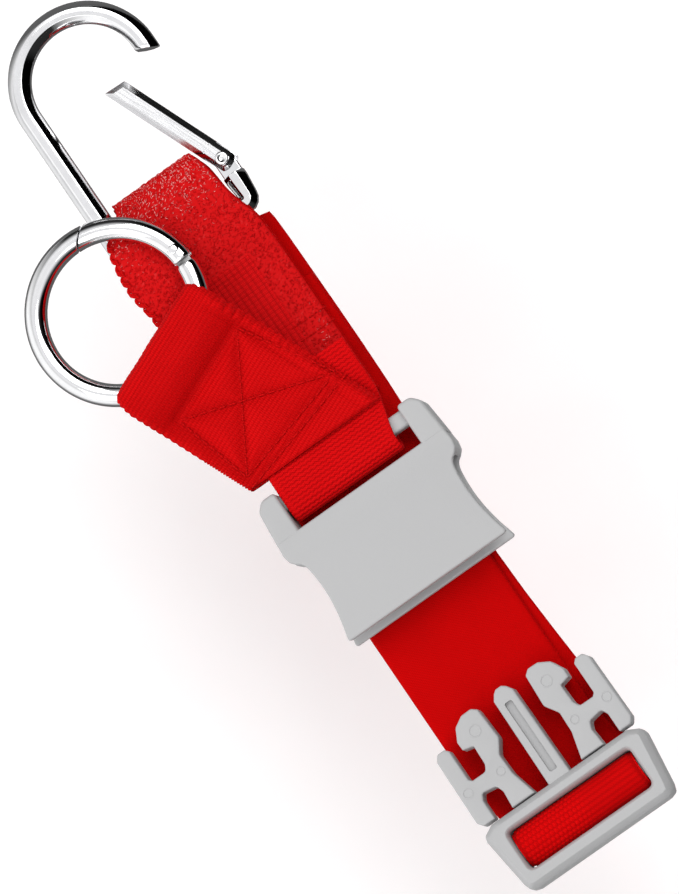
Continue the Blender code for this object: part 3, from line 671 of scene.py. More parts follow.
def make_curls(rows, mats):
    """The loops of the pile, each a bent yarn that stands on the ground. The tips are painted pale as
    highlights, palest where the strap folds over the hook, and pale in a band near the far end."""
    path = Path(rows, 0.5)
    at = RNG.uniform(path.at[0] + 0.3, path.at[-1] - 0.3, CURLS)
    across = RNG.uniform(0.01, 0.99, CURLS)
    here = path.place(at, across, np.zeros(CURLS))
    spill = RNG.uniform(-0.2, 1.6, (3, CURLS))
    free = ((here[:, 0] < GAP_X + spill[0]) | (here[:, 1] < GAP_LOW + spill[1])
            | (here[:, 1] > GAP_HIGH - spill[2]))
    at, across = at[free], across[free]
    n = len(at)
    width = np.mean(path.high - path.low)
    heading = RNG.uniform(0, math.pi, n)
    span = RNG.uniform(0.45, 1.05, n)
    rise = RNG.uniform(0.08, 0.34, n)
    lean = RNG.uniform(-0.5, 0.5, (n, 2))
    t = np.linspace(0, 1, CURL_POINTS)
    arch = np.sin(t * math.pi)
    along = (t - 0.5)[None] * span[:, None]
    bow = arch[None] * rise[:, None]
    d_at = along * np.cos(heading)[:, None] + bow * lean[:, :1]
    d_across = (along * np.sin(heading)[:, None] + bow * lean[:, 1:]) / width
    paths = path.place(at[:, None] + d_at, across[:, None] + d_across, 0.24 + bow)
    radii = RNG.uniform(0.06, 0.12, n)
    spot = path.place(at, across, np.zeros(n))
    fold = bell(spot[:, 0] + 73.0, 12.0)
    band = bell(spot[:, 1] - 17.5, 3.0) * bell(spot[:, 0] + 14.0, 12.0)
    # painted highlights: pale tips, most at the fold and in the band, and paler at the top of each loop
    pale = 0.18 + 0.42 * RNG.beta(1.4, 2.0, n) + (0.55 * fold + 0.4 * band) * RNG.beta(2.0, 1.6, n)
    tone = (np.repeat(np.clip(pale, 0, 1), CURL_POINTS * CURL_SIDES)
            + np.tile(np.repeat(arch * 0.12, CURL_SIDES), n))
    add_threads("pile_curls", paths, radii, CURL_SIDES, mats["pile"], "strap", "loop_pile",
                ["loop_pile"], tone)


def make_patch(keep, mats):
    """The woven hook tape: ribbed columns along the strap with a bump at each pick."""
    rows = lifted(keep, WEB / 2 + PILE_LIFT + 0.6)
    rows = rows[rows[:, 0] > TAPE_X]
    rows[:, 2], rows[:, 3] = TAPE_LOW, TAPE_HIGH

    def knit(at, across):
        column = wave(across, 1.75) ** 0.6
        pick = wave(at, 1.25) ** 0.7
        return column * (0.08 + 0.24 * pick) - 0.1

    # painted shade: the tone from the relief darkens the hollows between columns and picks
    verts, faces, uv, tone = strip_mesh(Path(rows, 0.24), 74, 0.6, knit)
    add_mesh("hook_tape", verts, faces, mats["tape"], "strap", "hook_tape", ["hook_patch"], uv, tone)


def make_overlock(rows, mats):
    """The serged left edge: each loop of thread wraps the edge and makes one scallop."""
    path = Path(rows[rows[:, 0] > -72.0], 0.5)
    pitch = 3.3
    starts = np.arange(path.at[0] + 0.5, path.at[-1] - pitch, pitch)
    t = np.linspace(0, 1, 12)
    width = np.mean(path.high - path.low)
    paths = []
    for strand in (0.0, 0.16, 0.32):
        for s in starts:
            at = s + pitch * (t + strand) + RNG.uniform(-0.1, 0.1)
            reach = 1.9 * np.sin(t * math.pi) ** 0.8 - 1.15
            height = 0.42 * np.cos(t * math.pi)
            paths.append(path.place(at, -reach / width, height))
    add_threads("pile_overlock", paths, 0.27, 7, mats["thread"], "strap", "thread",
                ["pile_edge_thread"])


def stitch_row(start, end, height, pitch=2.9, gap=0.55, dip=0.5):
    """Paths of the stitches along a straight row, each sinking at its two ends."""
    a, b = np.array(start, float), np.array(end, float)
    length = np.linalg.norm(b - a)
    count = max(1, int(round(length / pitch)))
    t = np.linspace(0, 1, 8)
    sink = np.clip(np.abs(t - 0.5) * 2, 0, 1) ** 4 * dip
    out = []
    for i in range(count):
        d = (i + 0.5 + (t - 0.5) * (1 - gap / pitch)) / count
        spot = a[None] + (b - a)[None] * d[:, None]
        out.append(np.column_stack([spot, np.full(8, height) - sink]))
    return out


def make_tacks(mats):
    """The two rows of stitches right across the strap."""
    z = FRONT_Z + WEB / 2 + 1.35
    for number, x in ((1, -24.0), (2, -20.0)):
        add_threads(f"strap_row_{number}", stitch_row((x, -16.2), (x, 21.4), z), 0.16, 7,
                    mats["thread"], "strap", "thread", [f"strap_tack_{number}"])


# ---------------------------------------------------------------- tab and link

def tab_world(u, w, z):
    """From the tab's own frame (away from the ring, across, up) to the world."""
    c, s = math.cos(TAB_TURN), math.sin(TAB_TURN)
    return np.stack([RING_C[0] + u * c - w * s, RING_C[1] + u * s + w * c, z], -1)


def stitch_lines():
    """The tab's box with its cross, and a second line beside the long side."""
    corners = np.array(STITCH_BOX)
    lines = [(corners[a], corners[b]) for a, b in STITCH_ROWS]
    shift = np.array([2.6, 0.9])
    lines.append((corners[2] + shift + (0.4, -1.5), corners[3] + shift + (-0.6, 1.2)))
    return lines


def row_distance(x, y):
    """Distance in plan to the nearest row of stitches."""
    best = np.full(x.shape, 99.0)
    for a, b in stitch_lines():
        run = b - a
        t = np.clip(((x - a[0]) * run[0] + (y - a[1]) * run[1]) / (run @ run), 0, 1)
        best = np.minimum(best, np.hypot(x - a[0] - t * run[0], y - a[1] - t * run[1]))
    return best


def tab_narrow(u):
    """How far each edge comes in where the tab passes over the ring."""
    return np.maximum(0.0, 1.0 - (u - 10.6) / 8.0) ** 1.3 * 1.4


def tab_end(w, x):
    """How far along the tab it meets the line at x that is parallel to the Y axis."""
    return (x - RING_C[0] + w * math.sin(TAB_TURN)) / math.cos(TAB_TURN)


def make_tab(mats):
    """Folded webbing: up over the ring, with both layers sewn flat behind it. It is built from the
    fold's profile (u, z), with w across it. Its relief has ribs, picks, stitch grooves and serging."""
    rib_pitch, pick_pitch, serge_pitch, low_pitch = 1.15, 0.95, 3.0, 2.1
    profile = smooth([
        (76, 8.6), (60, 8.6), (45, 8.7), (38, 9.6), (32, 9.4), (27, 8.6), (22, 8.4), (17, 8.4),
        (14.4, 8.6), (12.6, 9.6), (11.6, 11.4), (11.3, 13.6), (11.6, 15.8), (12.6, 17.5),
        (14.6, 18.45), (18, 18.5), (22, 18.3), (25.4, 16.9), (28.5, 15.2), (33, 14.6), (45, 14.55),
        (60, 14.6), (76, 14.7)], 8)
    run = np.r_[0, np.cumsum(np.hypot(*np.diff(profile, axis=0).T))]
    crest = run[np.argmin(profile[:, 0])]
    at = np.concatenate([np.arange(0, crest - 8, 0.9), np.arange(crest - 8, run[-1], 0.26)])
    u, z = np.interp(at, run, profile[:, 0]), np.interp(at, run, profile[:, 1])
    du, dz = np.gradient(u, at), np.gradient(z, at)
    size = np.hypot(du, dz)
    nu, nz = -dz / size, du / size
    t, a = np.meshgrid(np.linspace(0, 1, 120), at, indexing="xy")
    U, Z = np.broadcast_to(u[:, None], t.shape), np.broadcast_to(z[:, None], t.shape)
    upper = (a > crest).astype(float)
    scallop = upper * wave(a, serge_pitch) ** 0.7
    low_wave = wave(a, low_pitch)
    w_low = TAB_LOW + tab_narrow(U) - 0.35 * low_wave
    w_high = TAB_HIGH - tab_narrow(U) - 0.5 + 0.5 * scallop
    W = w_low + (w_high - w_low) * t
    u_end = tab_end(W, TAB_END_X) - 0.1
    squeeze = np.clip((U - 40.0) / 36.0, 0, 1)
    U = np.where(U > 40.0, 40.0 + squeeze * (u_end - 40.0), U)
    place = tab_world(U, W, Z)
    x, y = place[..., 0], place[..., 1]
    edge = np.minimum(W - w_low, w_high - W)
    from_end = np.where(U > 30, np.maximum(u_end - U, 0), 99.0)
    away = row_distance(x, y)
    sewn = upper * (U > 16)
    rib_phase = (U + 0.12 * np.sin(W * 2 * math.pi / 1.9)) * 2 * math.pi / rib_pitch
    worn = 0.75 + 0.25 * np.sin(x * 0.31 + 0.6) * np.sin(y * 0.27 + U * 0.11)
    flat_part = 1 / (1 + np.exp(-(U - 24.0) / 2.0))
    ribs = 0.085 * np.sin(rib_phase) * worn * (1 - 0.45 * flat_part)
    ribs = ribs * (1 - 0.6 * bell(away, 1.4))
    picks = 0.05 * np.sin(W * 2 * math.pi / pick_pitch) * np.cos(rib_phase * 0.5)
    groove = -0.6 * bell(away, 1.5)
    puff = 1.25 * (1 - np.exp(-(away / 4.2) ** 1.6)) - 0.2
    dimple = 0.10 * np.sin(x * 0.55 + 1.0) * np.sin(y * 0.42)
    lip = -0.9 * bell(edge, 0.75) - 0.9 * bell(from_end, 0.6)
    serge = 0.9 * scallop * bell(W - w_high + 1.9, 1.05) / (1 + np.exp(-(U - 18.0)))
    serge -= 0.35 * upper * bell(W - TAB_HIGH + 4.3, 0.6) * (U > 20)
    serge += 0.22 * low_wave * bell(W - w_low - 0.9, 0.8)
    height = ribs + picks + dimple * upper + sewn * (groove + np.clip(puff, -0.2, 1.0)) + lip
    height = height + serge * upper
    normal = np.stack(np.broadcast_arrays(nu[:, None] * math.cos(TAB_TURN),
                                          nu[:, None] * math.sin(TAB_TURN), nz[:, None] + 0 * t), -1)
    back = TAB_WEB - 0.6 * bell(edge, 0.9)
    out, inn = place + height[..., None] * normal, place - back[..., None] * normal
    verts, faces = loft(np.concatenate([out, inn[:, ::-1]], 1))
    uv = corner_uv(faces, *(np.concatenate([c, c[:, ::-1]], 1) for c in (U, W)))
    shade = spread(ribs + 1.3 * picks - 0.06 * bell(away, 1.0) * sewn)
    tone = np.concatenate([shade, np.full_like(shade, 0.5)], 1).ravel()
    add_mesh("tab_webbing", verts, faces, mats["ribbed"], "tab", "tab_webbing", ["ring_tab"], uv,
             tone)
    make_tab_core(mats)
    paths = [p for start, end in stitch_lines() for p in stitch_row(start, end, 14.2, 2.7, 0.45, 0.3)]
    add_threads("tab_stitches", paths, 0.22, 8, mats["thread"], "tab", "thread", ["box_x_stitching"])


def make_tab_core(mats):
    """The turned-in layers between the tab's two faces, seen at its edges."""
    start, span, inset = 27.5, 18.5, 0.7
    sections = []
    for here in np.linspace(start, start + span, 60):
        top = np.interp(here, (start, 30.0, 34.0), (12.6, 13.1, 13.05))
        low = np.interp(here, (start, 30.0, 38.0), (10.6, 11.0, 10.9))
        wave = 0.15 * math.sin(here * 2.2)
        ring = [(TAB_LOW + inset + wave, low), (TAB_LOW + inset - 0.35, (top + low) / 2),
                (TAB_LOW + inset + wave, top), (TAB_HIGH - inset - 0.7, top),
                (TAB_HIGH - inset - 0.4 + wave, (top + low) / 2), (TAB_HIGH - inset - 0.7, low)]
        place = []
        for w, z in ring[::-1]:
            end = tab_end(w, POCKET_END)
            place.append(tab_world(start + (here - start) / span * (end - start), w, z))
        sections.append(place)
    verts, faces = loft(np.array(sections))
    uv = np.concatenate([verts[f][:, :2] for f in faces])
    add_mesh("tab_core", verts, faces, mats["ribbed"], "tab", "tab_webbing", ["ring_tab"], uv,
             np.full(len(verts), 0.5))


def make_link(mats):
    """The doubled webbing between the tab and the socket's bar, woven in fine zigzag rows."""
    bar_x, bar_z = SOCKET_BAR
    low, high_in, high_bar, slack, width = -15.7, 20.8, 17.7, 2.5, 35.8
    zigzag_pitch, rib_pitch = 1.7, 1.15
    rows = [(-13.8, 10.7, low, high_in), (0, 10.6, low, high_in), (5.0, 9.4, low, 20.0),
            (9.0, 7.0, low, 18.6), (12.5, 6.45, low, high_bar)]
    rows += [(bar_x + slack + LINK_R * math.cos(a), bar_z + LINK_R * math.sin(a), low, high_bar)
             for a in fan(-90, 90, 30)]
    rows += [(12.5, 12.95, low, 18.2), (8.0, 12.7, low, 19.4), (2, 12.3, low, high_in),
             (-13.8, 12.25, low, high_in)]

    def zigzag_rows(at, across):
        zigzag = 0.32 * np.abs(((across / zigzag_pitch) % 1.0) - 0.5) * 2
        rib = np.abs(np.sin((at / rib_pitch + zigzag) * math.pi)) ** 0.75
        edge = np.minimum(across, width - across)
        return 0.38 * rib - 0.2 + 0.1 * bell(edge - 1.0, 0.8)

    # painted shade: the tone from the zigzag relief darkens the hollows between rows
    verts, faces, uv, tone = strip_mesh(Path(rows, 0.2), 130, LINK_WEB - 0.25, zigzag_rows)
    add_mesh("link_cloth", verts, faces, mats["coarse"], "tab", "link_webbing", ["link_webbing"], uv,
             tone)


# ---------------------------------------------------------------- hook

def chamfered(half):
    """A square section with broad chamfers and softened corners, as (side, up)."""
    c = half * 0.36
    return fillet([(half, -c), (half, c), (c, half), (-c, half), (-half, c), (-half, -c), (-c, -half),
                   (c, -half)], 0.2, 3)


def bar_sweep(path, sections, height):
    """A bar along a path in plan. One section of (side, up) for each point."""
    path = np.asarray(path, float)
    run = np.gradient(path, axis=0)
    run = unit(run)
    side = np.stack([-run[:, 1], run[:, 0]], 1)
    out = []
    for p, s, section in zip(path, side, sections):
        section = np.asarray(section)
        flat = p[None] + s[None] * section[:, :1]
        out.append(np.column_stack([flat, height + section[:, 1]]))
    return np.array(out)


def arc(cx, cy, radius, start, end, count):
    a = fan(start, end, count)
    return np.stack([cx + radius * np.cos(a), cy + radius * np.sin(a)], 1)


def make_hook(mats):
    """The bent bar, from its slanted nose round the bow and base to the stub, and the pin's eye."""
    radius, middle = (STUB_Y - SHANK_Y) / 2, (STUB_Y + SHANK_Y) / 2
    nose_x, nose_lean = -106.15, 0.383
    corner_x = BASE_X - CORNER_R
    inner = SHANK_Y + CORNER_R
    upper = STUB_Y - STUB_R
    path = np.vstack([
        [[-104.4, STUB_Y]], [[-105.6, STUB_Y]], [[-107.6, STUB_Y]],
        arc(ARC_X, middle, radius, 90, 270, 90)[1:],
        np.stack([np.linspace(-107, -66, 20), np.full(20, SHANK_Y)], 1),
        arc(corner_x, inner, CORNER_R, -90, 0, 16),
        np.stack([np.full(8, BASE_X), np.linspace(inner + 1, upper - 1, 8)], 1),
        arc(BASE_X - STUB_R, STUB_Y - STUB_R, STUB_R, 0, 90, 5),
        [[-64.6, STUB_Y]], [[-66.1, STUB_Y]], [[-66.35, STUB_Y]]])
    sections = []
    for i, x in enumerate(path[:, 0]):
        slim = np.clip((x + 64.5) / 3.0, 0, 1)
        half = HALF_BAR + (HALF_HOOK - HALF_BAR) * (1 - slim)
        sections.append(chamfered(half) * (0.9 if i in (0, len(path) - 1) else 1.0))
    body = bar_sweep(path, sections, HOOK_Z)
    for i, inset in ((0, 0.0), (1, 0.4), (2, 1.4)):
        lean = nose_lean * (body[i, :, 1] - STUB_Y)
        body[i, :, 0] = nose_x - inset + lean * (1.0 if i < 2 else 0.6)
    parts = [loft(body)]
    px, py = HOOK_PIN
    eye = np.vstack([arc(px, py, 2.65, 90, 270, 18), [[-66.2, py - 2.65]], [[-66.2, py + 2.65]]])
    parts.append(rounded_prism(eye, 0.0, HOOK_Z - 1.3, HOOK_Z + 1.3, 0.25, 0.25))
    verts, faces = merged(parts)
    add_mesh("hook_bar", verts, faces, mats["chrome"], "hook", "chrome", ["hook_body"], sharp=50)
    make_hook_gate(mats)


def lathe(profile, count=40):
    """A turned shape about Z from (radius, height) points; the first and last lie on the axis."""
    a = np.linspace(0, 2 * math.pi, count, endpoint=False)
    rings = np.array([[(r * math.cos(t), r * math.sin(t), h) for t in a] for r, h in profile])
    return loft(rings)


def gate_place(points):
    """From the hook gate's own frame (along, side, up) to the world."""
    p = np.asarray(points, float)
    c, s = math.cos(GATE_OPEN), math.sin(GATE_OPEN)
    x, y = -p[:, 0], p[:, 1]
    return np.stack([HOOK_PIN[0] + x * c - y * s, HOOK_PIN[1] + x * s + y * c, HOOK_Z + p[:, 2]], 1)


def boss(profile, at):
    """A turned shape that stands at a place in the world."""
    verts, faces = lathe(profile)
    return verts + np.asarray(at), flipped(faces)


def sink_well(obj, at, radius, low, high):
    """Cuts the round well in which a rivet's head lies."""
    cut(obj, *boss([(0.01, low), (radius, low), (radius, high), (0.01, high)], at))


def make_spring(gate, place, rod, rod_at, coil, radius, wire_r, rounds, points, mats):
    """A gate's plunger and the coil behind it. place takes the frame along their axis to the world."""
    name = gate.split("_")[0]
    verts, faces = lathe(rod, 24)
    verts = place(np.stack([rod_at + verts[:, 2], verts[:, 0], verts[:, 1]], 1))
    add_mesh(f"{name}_plunger", verts, faces, mats["steel"], gate, "spring_steel",
             [f"{gate}_plunger"], sharp=40)
    t = np.linspace(0, 1, points)
    turns = rounds * 2 * math.pi * t
    helix = np.stack([coil[0] + coil[1] * t, radius * np.cos(turns), radius * np.sin(turns)], 1)
    add_threads(f"{name}_coil", place(helix)[None], wire_r, 8, mats["steel"], gate, "spring_steel",
                [f"{gate}_spring"])


def make_hook_gate(mats):
    """The lever, open, with a slot for the hook's eye, two nicks, a well and its rivet."""
    half = GATE_HALF
    pin = [*HOOK_PIN, HOOK_Z]
    outline = [(-2.4, -half), (-3.15, -1.2), (-3.15, 1.2), (-2.4, half), (33.0, half), (35.55, -half)]
    verts, faces = rounded_prism(outline, (0.9, 0.9, 0.9, 0.9, 0.35, 0.35), -half, half, 1.45, 0.9, 1)
    gate = add_mesh("hook_lever", gate_place(verts), flipped(faces), mats["brushed"], "hook_gate",
                    "chrome", ["hook_gate"], sharp=40)
    slot = ([(-7, -6), (3.7, -6), (3.7, 6), (-7, 6)], -1.65, 1.65)
    nicks = [([(4.6, -0.35 + side), (5.0, -0.35 + side), (5.0, 0.35 + side), (4.6, 0.35 + side)],
              half - 0.3, half + 1) for side in (-1.2, 1.2)]
    for corners, low, high in (slot, *nicks):
        verts, faces = rounded_prism(corners, 0.0, low, high, 0.02, 0.02, 1)
        cut(gate, gate_place(verts), flipped(faces))
    sink_well(gate, pin, 2.12, half - 0.35, half + 1.0)
    face = half + 0.1
    rim = [(0.01, -face - 0.45), (1.35, -face - 0.45), (1.75, -face - 0.15), (1.75, -face),
           (1.0, -face + 0.1), (1.0, face - 0.1), (1.75, face), (1.75, face + 0.2), (1.6, face + 0.42),
           (1.25, face + 0.48), (1.0, face + 0.38), (0.8, face + 0.12), (0.4, face + 0.02), (0.01, face)]
    add_mesh("hook_rivet", *boss(rim, pin), mats["chrome"], "hook", "spring_steel", ["hook_gate_pin"],
             sharp=50)
    rod = [(0.01, 0), (0.9, 0.0), (1.15, 0.25), (1.15, 3.4), (0.95, 3.6), (0.01, 3.6)]
    make_spring("hook_gate", gate_place, rod, 3.4, (7.6, 8.7), 0.95, 0.2, 7, 240, mats)


# ---------------------------------------------------------------- ring

def ring_place(angle, radius=RING_R):
    return np.stack([RING_C[0] + radius * np.cos(angle), RING_C[1] + radius * np.sin(angle)], -1)


def wire(start, end, count, face_start=None, face_end=None, sides=40):
    """A length of the ring's wire. A face is the angle at each side offset where the wire ends."""
    a = fan(start, end, count)
    turn = np.linspace(0, 2 * math.pi, sides, endpoint=False)
    out, up = WIRE_R * np.cos(turn), WIRE_R * np.sin(turn)
    sections = np.zeros((count, sides, 3))
    for i, here in enumerate(a):
        angle = np.full(sides, here)
        scale = 0.93 if i in (0, count - 1) else 1.0
        radial = RING_R + out * scale
        if face_start is not None:
            angle = np.maximum(angle, face_start(radial) + 0.008 * min(i, 3))
        if face_end is not None:
            angle = np.minimum(angle, face_end(radial) - 0.008 * min(count - 1 - i, 3))
        sections[i, :, 0] = RING_C[0] + radial * np.cos(angle)
        sections[i, :, 1] = RING_C[1] + radial * np.sin(angle)
        sections[i, :, 2] = RING_C[2] + up * scale
    return loft(sections)


def make_ring(mats):
    """The wire, parted from its gate by an arc about the pin, and the tongue that holds the pin."""
    pin, free = ring_place(math.radians(RING_PIN_A)), ring_place(math.radians(FREE_A))
    reach = math.dist(pin, free)

    def beyond_pin(distance):
        return RING_PIN_A + distance * DEGREES_PER_MM

    def seam(shift):
        """Angle round the ring, by radius, of the arc about the pin that parts gate and ring."""
        table = fan(FREE_A - 20, FREE_A + 20, 400)

        def at(radial):
            away = [np.abs(np.hypot(*(ring_place(table, r) - pin).T) - reach - shift) for r in radial]
            return np.array([table[np.argmin(a)] for a in away])
        return at

    body = wire(FREE_A - 9.0, beyond_pin(-4.65) + 360.0, 200, face_start=seam(0.16))
    add_mesh("ring_wire", *body, mats["chrome"], "ring", "chrome", ["ring_body"], sharp=50)
    path = ring_place(fan(beyond_pin(-4.65) - 3, beyond_pin(2.4), 20))
    tongue = fillet([(-2.0, -0.95), (2.0, -0.95), (2.0, 0.95), (-2.0, 0.95)], 0.2, 2)
    sections = [tongue] * 19 + [tongue * 0.94]
    # the tongue is painted near black, as the shade in the lever's slot round it
    add_mesh("ring_tongue", *loft(bar_sweep(path, sections, RING_C[2])), mats["dull"], "ring",
             "chrome", ["ring_body"], sharp=50)

    gate = wire(beyond_pin(-3.25), FREE_A + 9.0, 80, face_end=seam(-0.16))
    obj = add_mesh("ring_lever", *gate, mats["chrome"], "ring_gate", "chrome", ["ring_gate"], sharp=50)
    path = ring_place(fan(beyond_pin(-8), beyond_pin(3.4), 8))
    slot = np.array([(-4.0, -1.3), (4.0, -1.3), (4.0, 1.3), (-4.0, 1.3)])
    cut(obj, *loft(bar_sweep(path, [slot] * 8, RING_C[2])))
    centre, half = np.array([*pin, RING_C[2]]), WIRE_R
    sink_well(obj, centre, 1.88, half - 1.55, half + 1.0)
    rim = [(0.01, -half + 0.15), (1.2, -half + 0.2), (1.5, -half + 0.35), (1.5, -1.4), (0.9, -1.3),
           (0.9, 1.3), (1.5, 1.4), (1.5, half - 0.3), (1.12, half + 0.08), (1.0, half + 0.12),
           (0.01, half + 0.14)]
    add_mesh("ring_rivet", *boss(rim, centre), mats["chrome"], "ring", "spring_steel",
             ["ring_gate_pin"], sharp=40)
    start, stop = (ring_place(math.radians(beyond_pin(d))) for d in (2.6, 13.0))
    run = (stop - start) / np.linalg.norm(stop - start)
    side = np.array([-run[1], run[0]])

    def place(points):
        flat = start[None] + run[None] * points[:, :1] + side[None] * points[:, 1:2]
        return np.column_stack([flat, RING_C[2] + points[:, 2]])

    rod = [(0.01, 0.9), (0.75, 0.9), (0.97, 1.1), (0.97, 3.2), (0.8, 3.4), (0.01, 3.4)]
    make_spring("ring_gate", place, rod, 0.0, (4.0, 5.6), 0.75, 0.17, 6, 200, mats)


# ---------------------------------------------------------------- buckle

def mirrored(half):
    """A half outline (x, v) from the middle line outwards, closed by its mirror image."""
    upper = [(x, BUCKLE_Y + v) for x, v in half if v != 0]
    return upper + [(x, 2 * BUCKLE_Y - y) for x, y in upper[::-1]]


def on_side(points, side):
    """Points (x, v) on one side of the buckle's middle line, 1 or -1."""
    return [(x, BUCKLE_Y + side * v) for x, v in points]


def block(x, v, z, soft=0.3, rim=0.25):
    """A soft-edged block given its limits along the strap, across the buckle and in height."""
    outline = [(x[0], BUCKLE_Y + v[0]), (x[1], BUCKLE_Y + v[0]), (x[1], BUCKLE_Y + v[1]),
               (x[0], BUCKLE_Y + v[1])]
    return rounded_prism(outline, soft, z[0], z[1], rim, rim, 3)


def bar_across(centre, half_x, half_z, soft, v):
    """A rounded bar along Y, its middle at (x, z)."""
    section = fillet([(-half_x, -half_z), (half_x, -half_z), (half_x, half_z), (-half_x, half_z)],
                     soft, 5)
    ends = [[(centre[0] + a, BUCKLE_Y + place, centre[1] + b) for a, b in section] for place in v]
    verts, faces = loft(np.array(ends))
    return verts, flipped(faces)


def make_socket(mats):
    """Two waisted plates on side walls and ribs, with ears that carry the link's bar."""
    waist = smooth([(28.7, 24.0), (30.0, 23.2), (33.0, 22.7), (38.0, 22.5), (43.0, 22.9),
                    (48.0, 23.8)], 4)
    waist = [tuple(p) for p in waist]
    rear = [(20.9, 0), (20.9, 26.2), (24.6, 26.55), (26.8, 26.1), (28.1, 24.9)]
    top = mirrored(rear + waist + [(52.4, 24.9), (52.4, 0)])
    low = mirrored(rear + waist + [(53.2, 25.2), (53.2, 0)])
    parts = [rounded_prism(top, 0.9, CAVITY_HIGH, PLATE_HIGH, 0.55, 0.25),
             rounded_prism(low, 0.9, PLATE_LOW, CAVITY_LOW, 0.5, 0.5)]
    for side in (1, -1):
        wall = [(20.9, 22.0), (24.6, 22.0), (24.6, 24.2), (27.9, 24.3), (27.6, 25.2), (26.6, 25.9),
                (24.6, 26.3), (20.9, 26.0)]
        parts.append(rounded_prism(on_side(wall, side), 0.2, 4.4, 13.6, 0.1, 0.1, 1))
        ear = [(9.3, 19.3), (21.8, 19.3), (21.8, 26.4), (18.0, 26.1), (11.6, 25.5), (9.35, 23.4)]
        parts.append(rounded_prism(on_side(ear, side), (1.2, 0.3, 0.3, 1.0, 2.2, 2.4), PLATE_LOW,
                                   PLATE_HIGH, 0.9, 0.6, 5))
        parts.append(block((34.2, 38.0), sorted((side * 17.1, side * 18.1)), (4.6, 13.6), 0.15, 0.05))
    parts.append(block((20.9, 22.7), (-24.5, 24.5), (4.4, 13.6), 0.1, 0.05))
    parts.append(bar_across(SOCKET_BAR, 2.25, 2.2, 1.1, (-19.8, 19.8)))
    verts, faces = merged(parts)
    add_mesh("buckle_female", verts, faces, mats["plastic"], "socket", "grey_plastic",
             ["buckle_socket"], sharp=40)


def cast(outline, centre, angles):
    """Where rays from the centre leave a convex outline."""
    p = anticlockwise(outline) - centre
    q = np.roll(p, -1, 0) - p
    out = []
    for a in angles:
        d = np.array([math.cos(a), math.sin(a)])
        cross = q[:, 1] * d[0] - q[:, 0] * d[1]
        meets = np.abs(cross) > 1e-9
        start, side, cross = p[meets], q[meets], cross[meets]
        t = (start[:, 0] * side[:, 1] - start[:, 1] * side[:, 0]) / cross
        s = (start[:, 0] * d[1] - start[:, 1] * d[0]) / cross
        out.append(d * t[(s > -1e-6) & (s < 1 + 1e-6) & (t > 0)].max() + centre)
    return np.array(out)


def make_plug(mats):
    """The frame, a hoop whose section is turned between an outline and a window, its bar, and the
    middle prong with a groove along it."""
    centre = np.array([121.6, BUCKLE_Y])
    half = [(111.8, 0), (111.8, 21.2), (113.4, 24.3), (115.0, 24.7), (129.3, 22.9), (131.4, 22.2),
            (132.0, 20.3), (132.0, 0)]
    outer = fillet(anticlockwise(mirrored(half)), 1.2, 4)
    window = fillet([(115.9, BUCKLE_Y - 19.0), (127.3, BUCKLE_Y - 19.0), (127.3, BUCKLE_Y + 19.0),
                     (115.9, BUCKLE_Y + 19.0)], 1.6, 6)
    corners = np.vstack([outer, window]) - centre
    angles = np.unique(np.round(np.r_[np.arctan2(corners[:, 1], corners[:, 0]),
                                      np.radians(np.arange(-180, 180, 2.0))], 4))
    levels = [(outer, 0.6, FRAME_LOW), (outer, 0.0, FRAME_LOW + 0.6), (outer, 0.0, 12.0),
              (outer, 0.12, 12.35), (outer, 1.3, 13.9), (outer, 1.55, FRAME_HIGH),
              (window, -0.85, FRAME_HIGH),
              (window, -0.6, 13.9), (window, -0.1, 13.1), (window, 0.0, FRAME_LOW + 0.5),
              (window, -0.5, FRAME_LOW)]
    rings = []
    for outline, inset, z in levels:
        spots = cast(offset_outline(outline, inset), centre, angles)
        rings.append(np.column_stack([spots, np.full(len(spots), z)]))
    sections = np.swapaxes(np.array(rings), 0, 1)
    hoop = loft(sections, closed_path=True)
    bar = bar_across(PLUG_BAR, 2.6, 3.1, 1.5, (-19.6, 19.6))
    add_mesh("buckle_frame", *merged([hoop, bar]), mats["plastic"], "plug", "grey_plastic",
             ["plug_frame"], sharp=38)
    tip = [(83.8, 0), (83.8, 0.9), (84.6, 1.9), (86.2, 3.0), (112.6, 3.3), (112.6, 0)]
    prong = add_mesh("buckle_prong", *rounded_prism(mirrored(tip), 0.6, ARM_LOW, ARM_HIGH, 0.55, 0.4),
                     mats["plastic"], "plug", "grey_plastic", ["plug_frame"], sharp=38)
    groove = [(88.2, BUCKLE_Y - 1.15), (109.5, BUCKLE_Y - 1.15), (109.5, BUCKLE_Y + 1.15),
              (88.2, BUCKLE_Y + 1.15)]
    cut(prong, *rounded_prism(groove, 0.7, ARM_HIGH - 1.5, ARM_HIGH + 2, 0.05, 0.4))


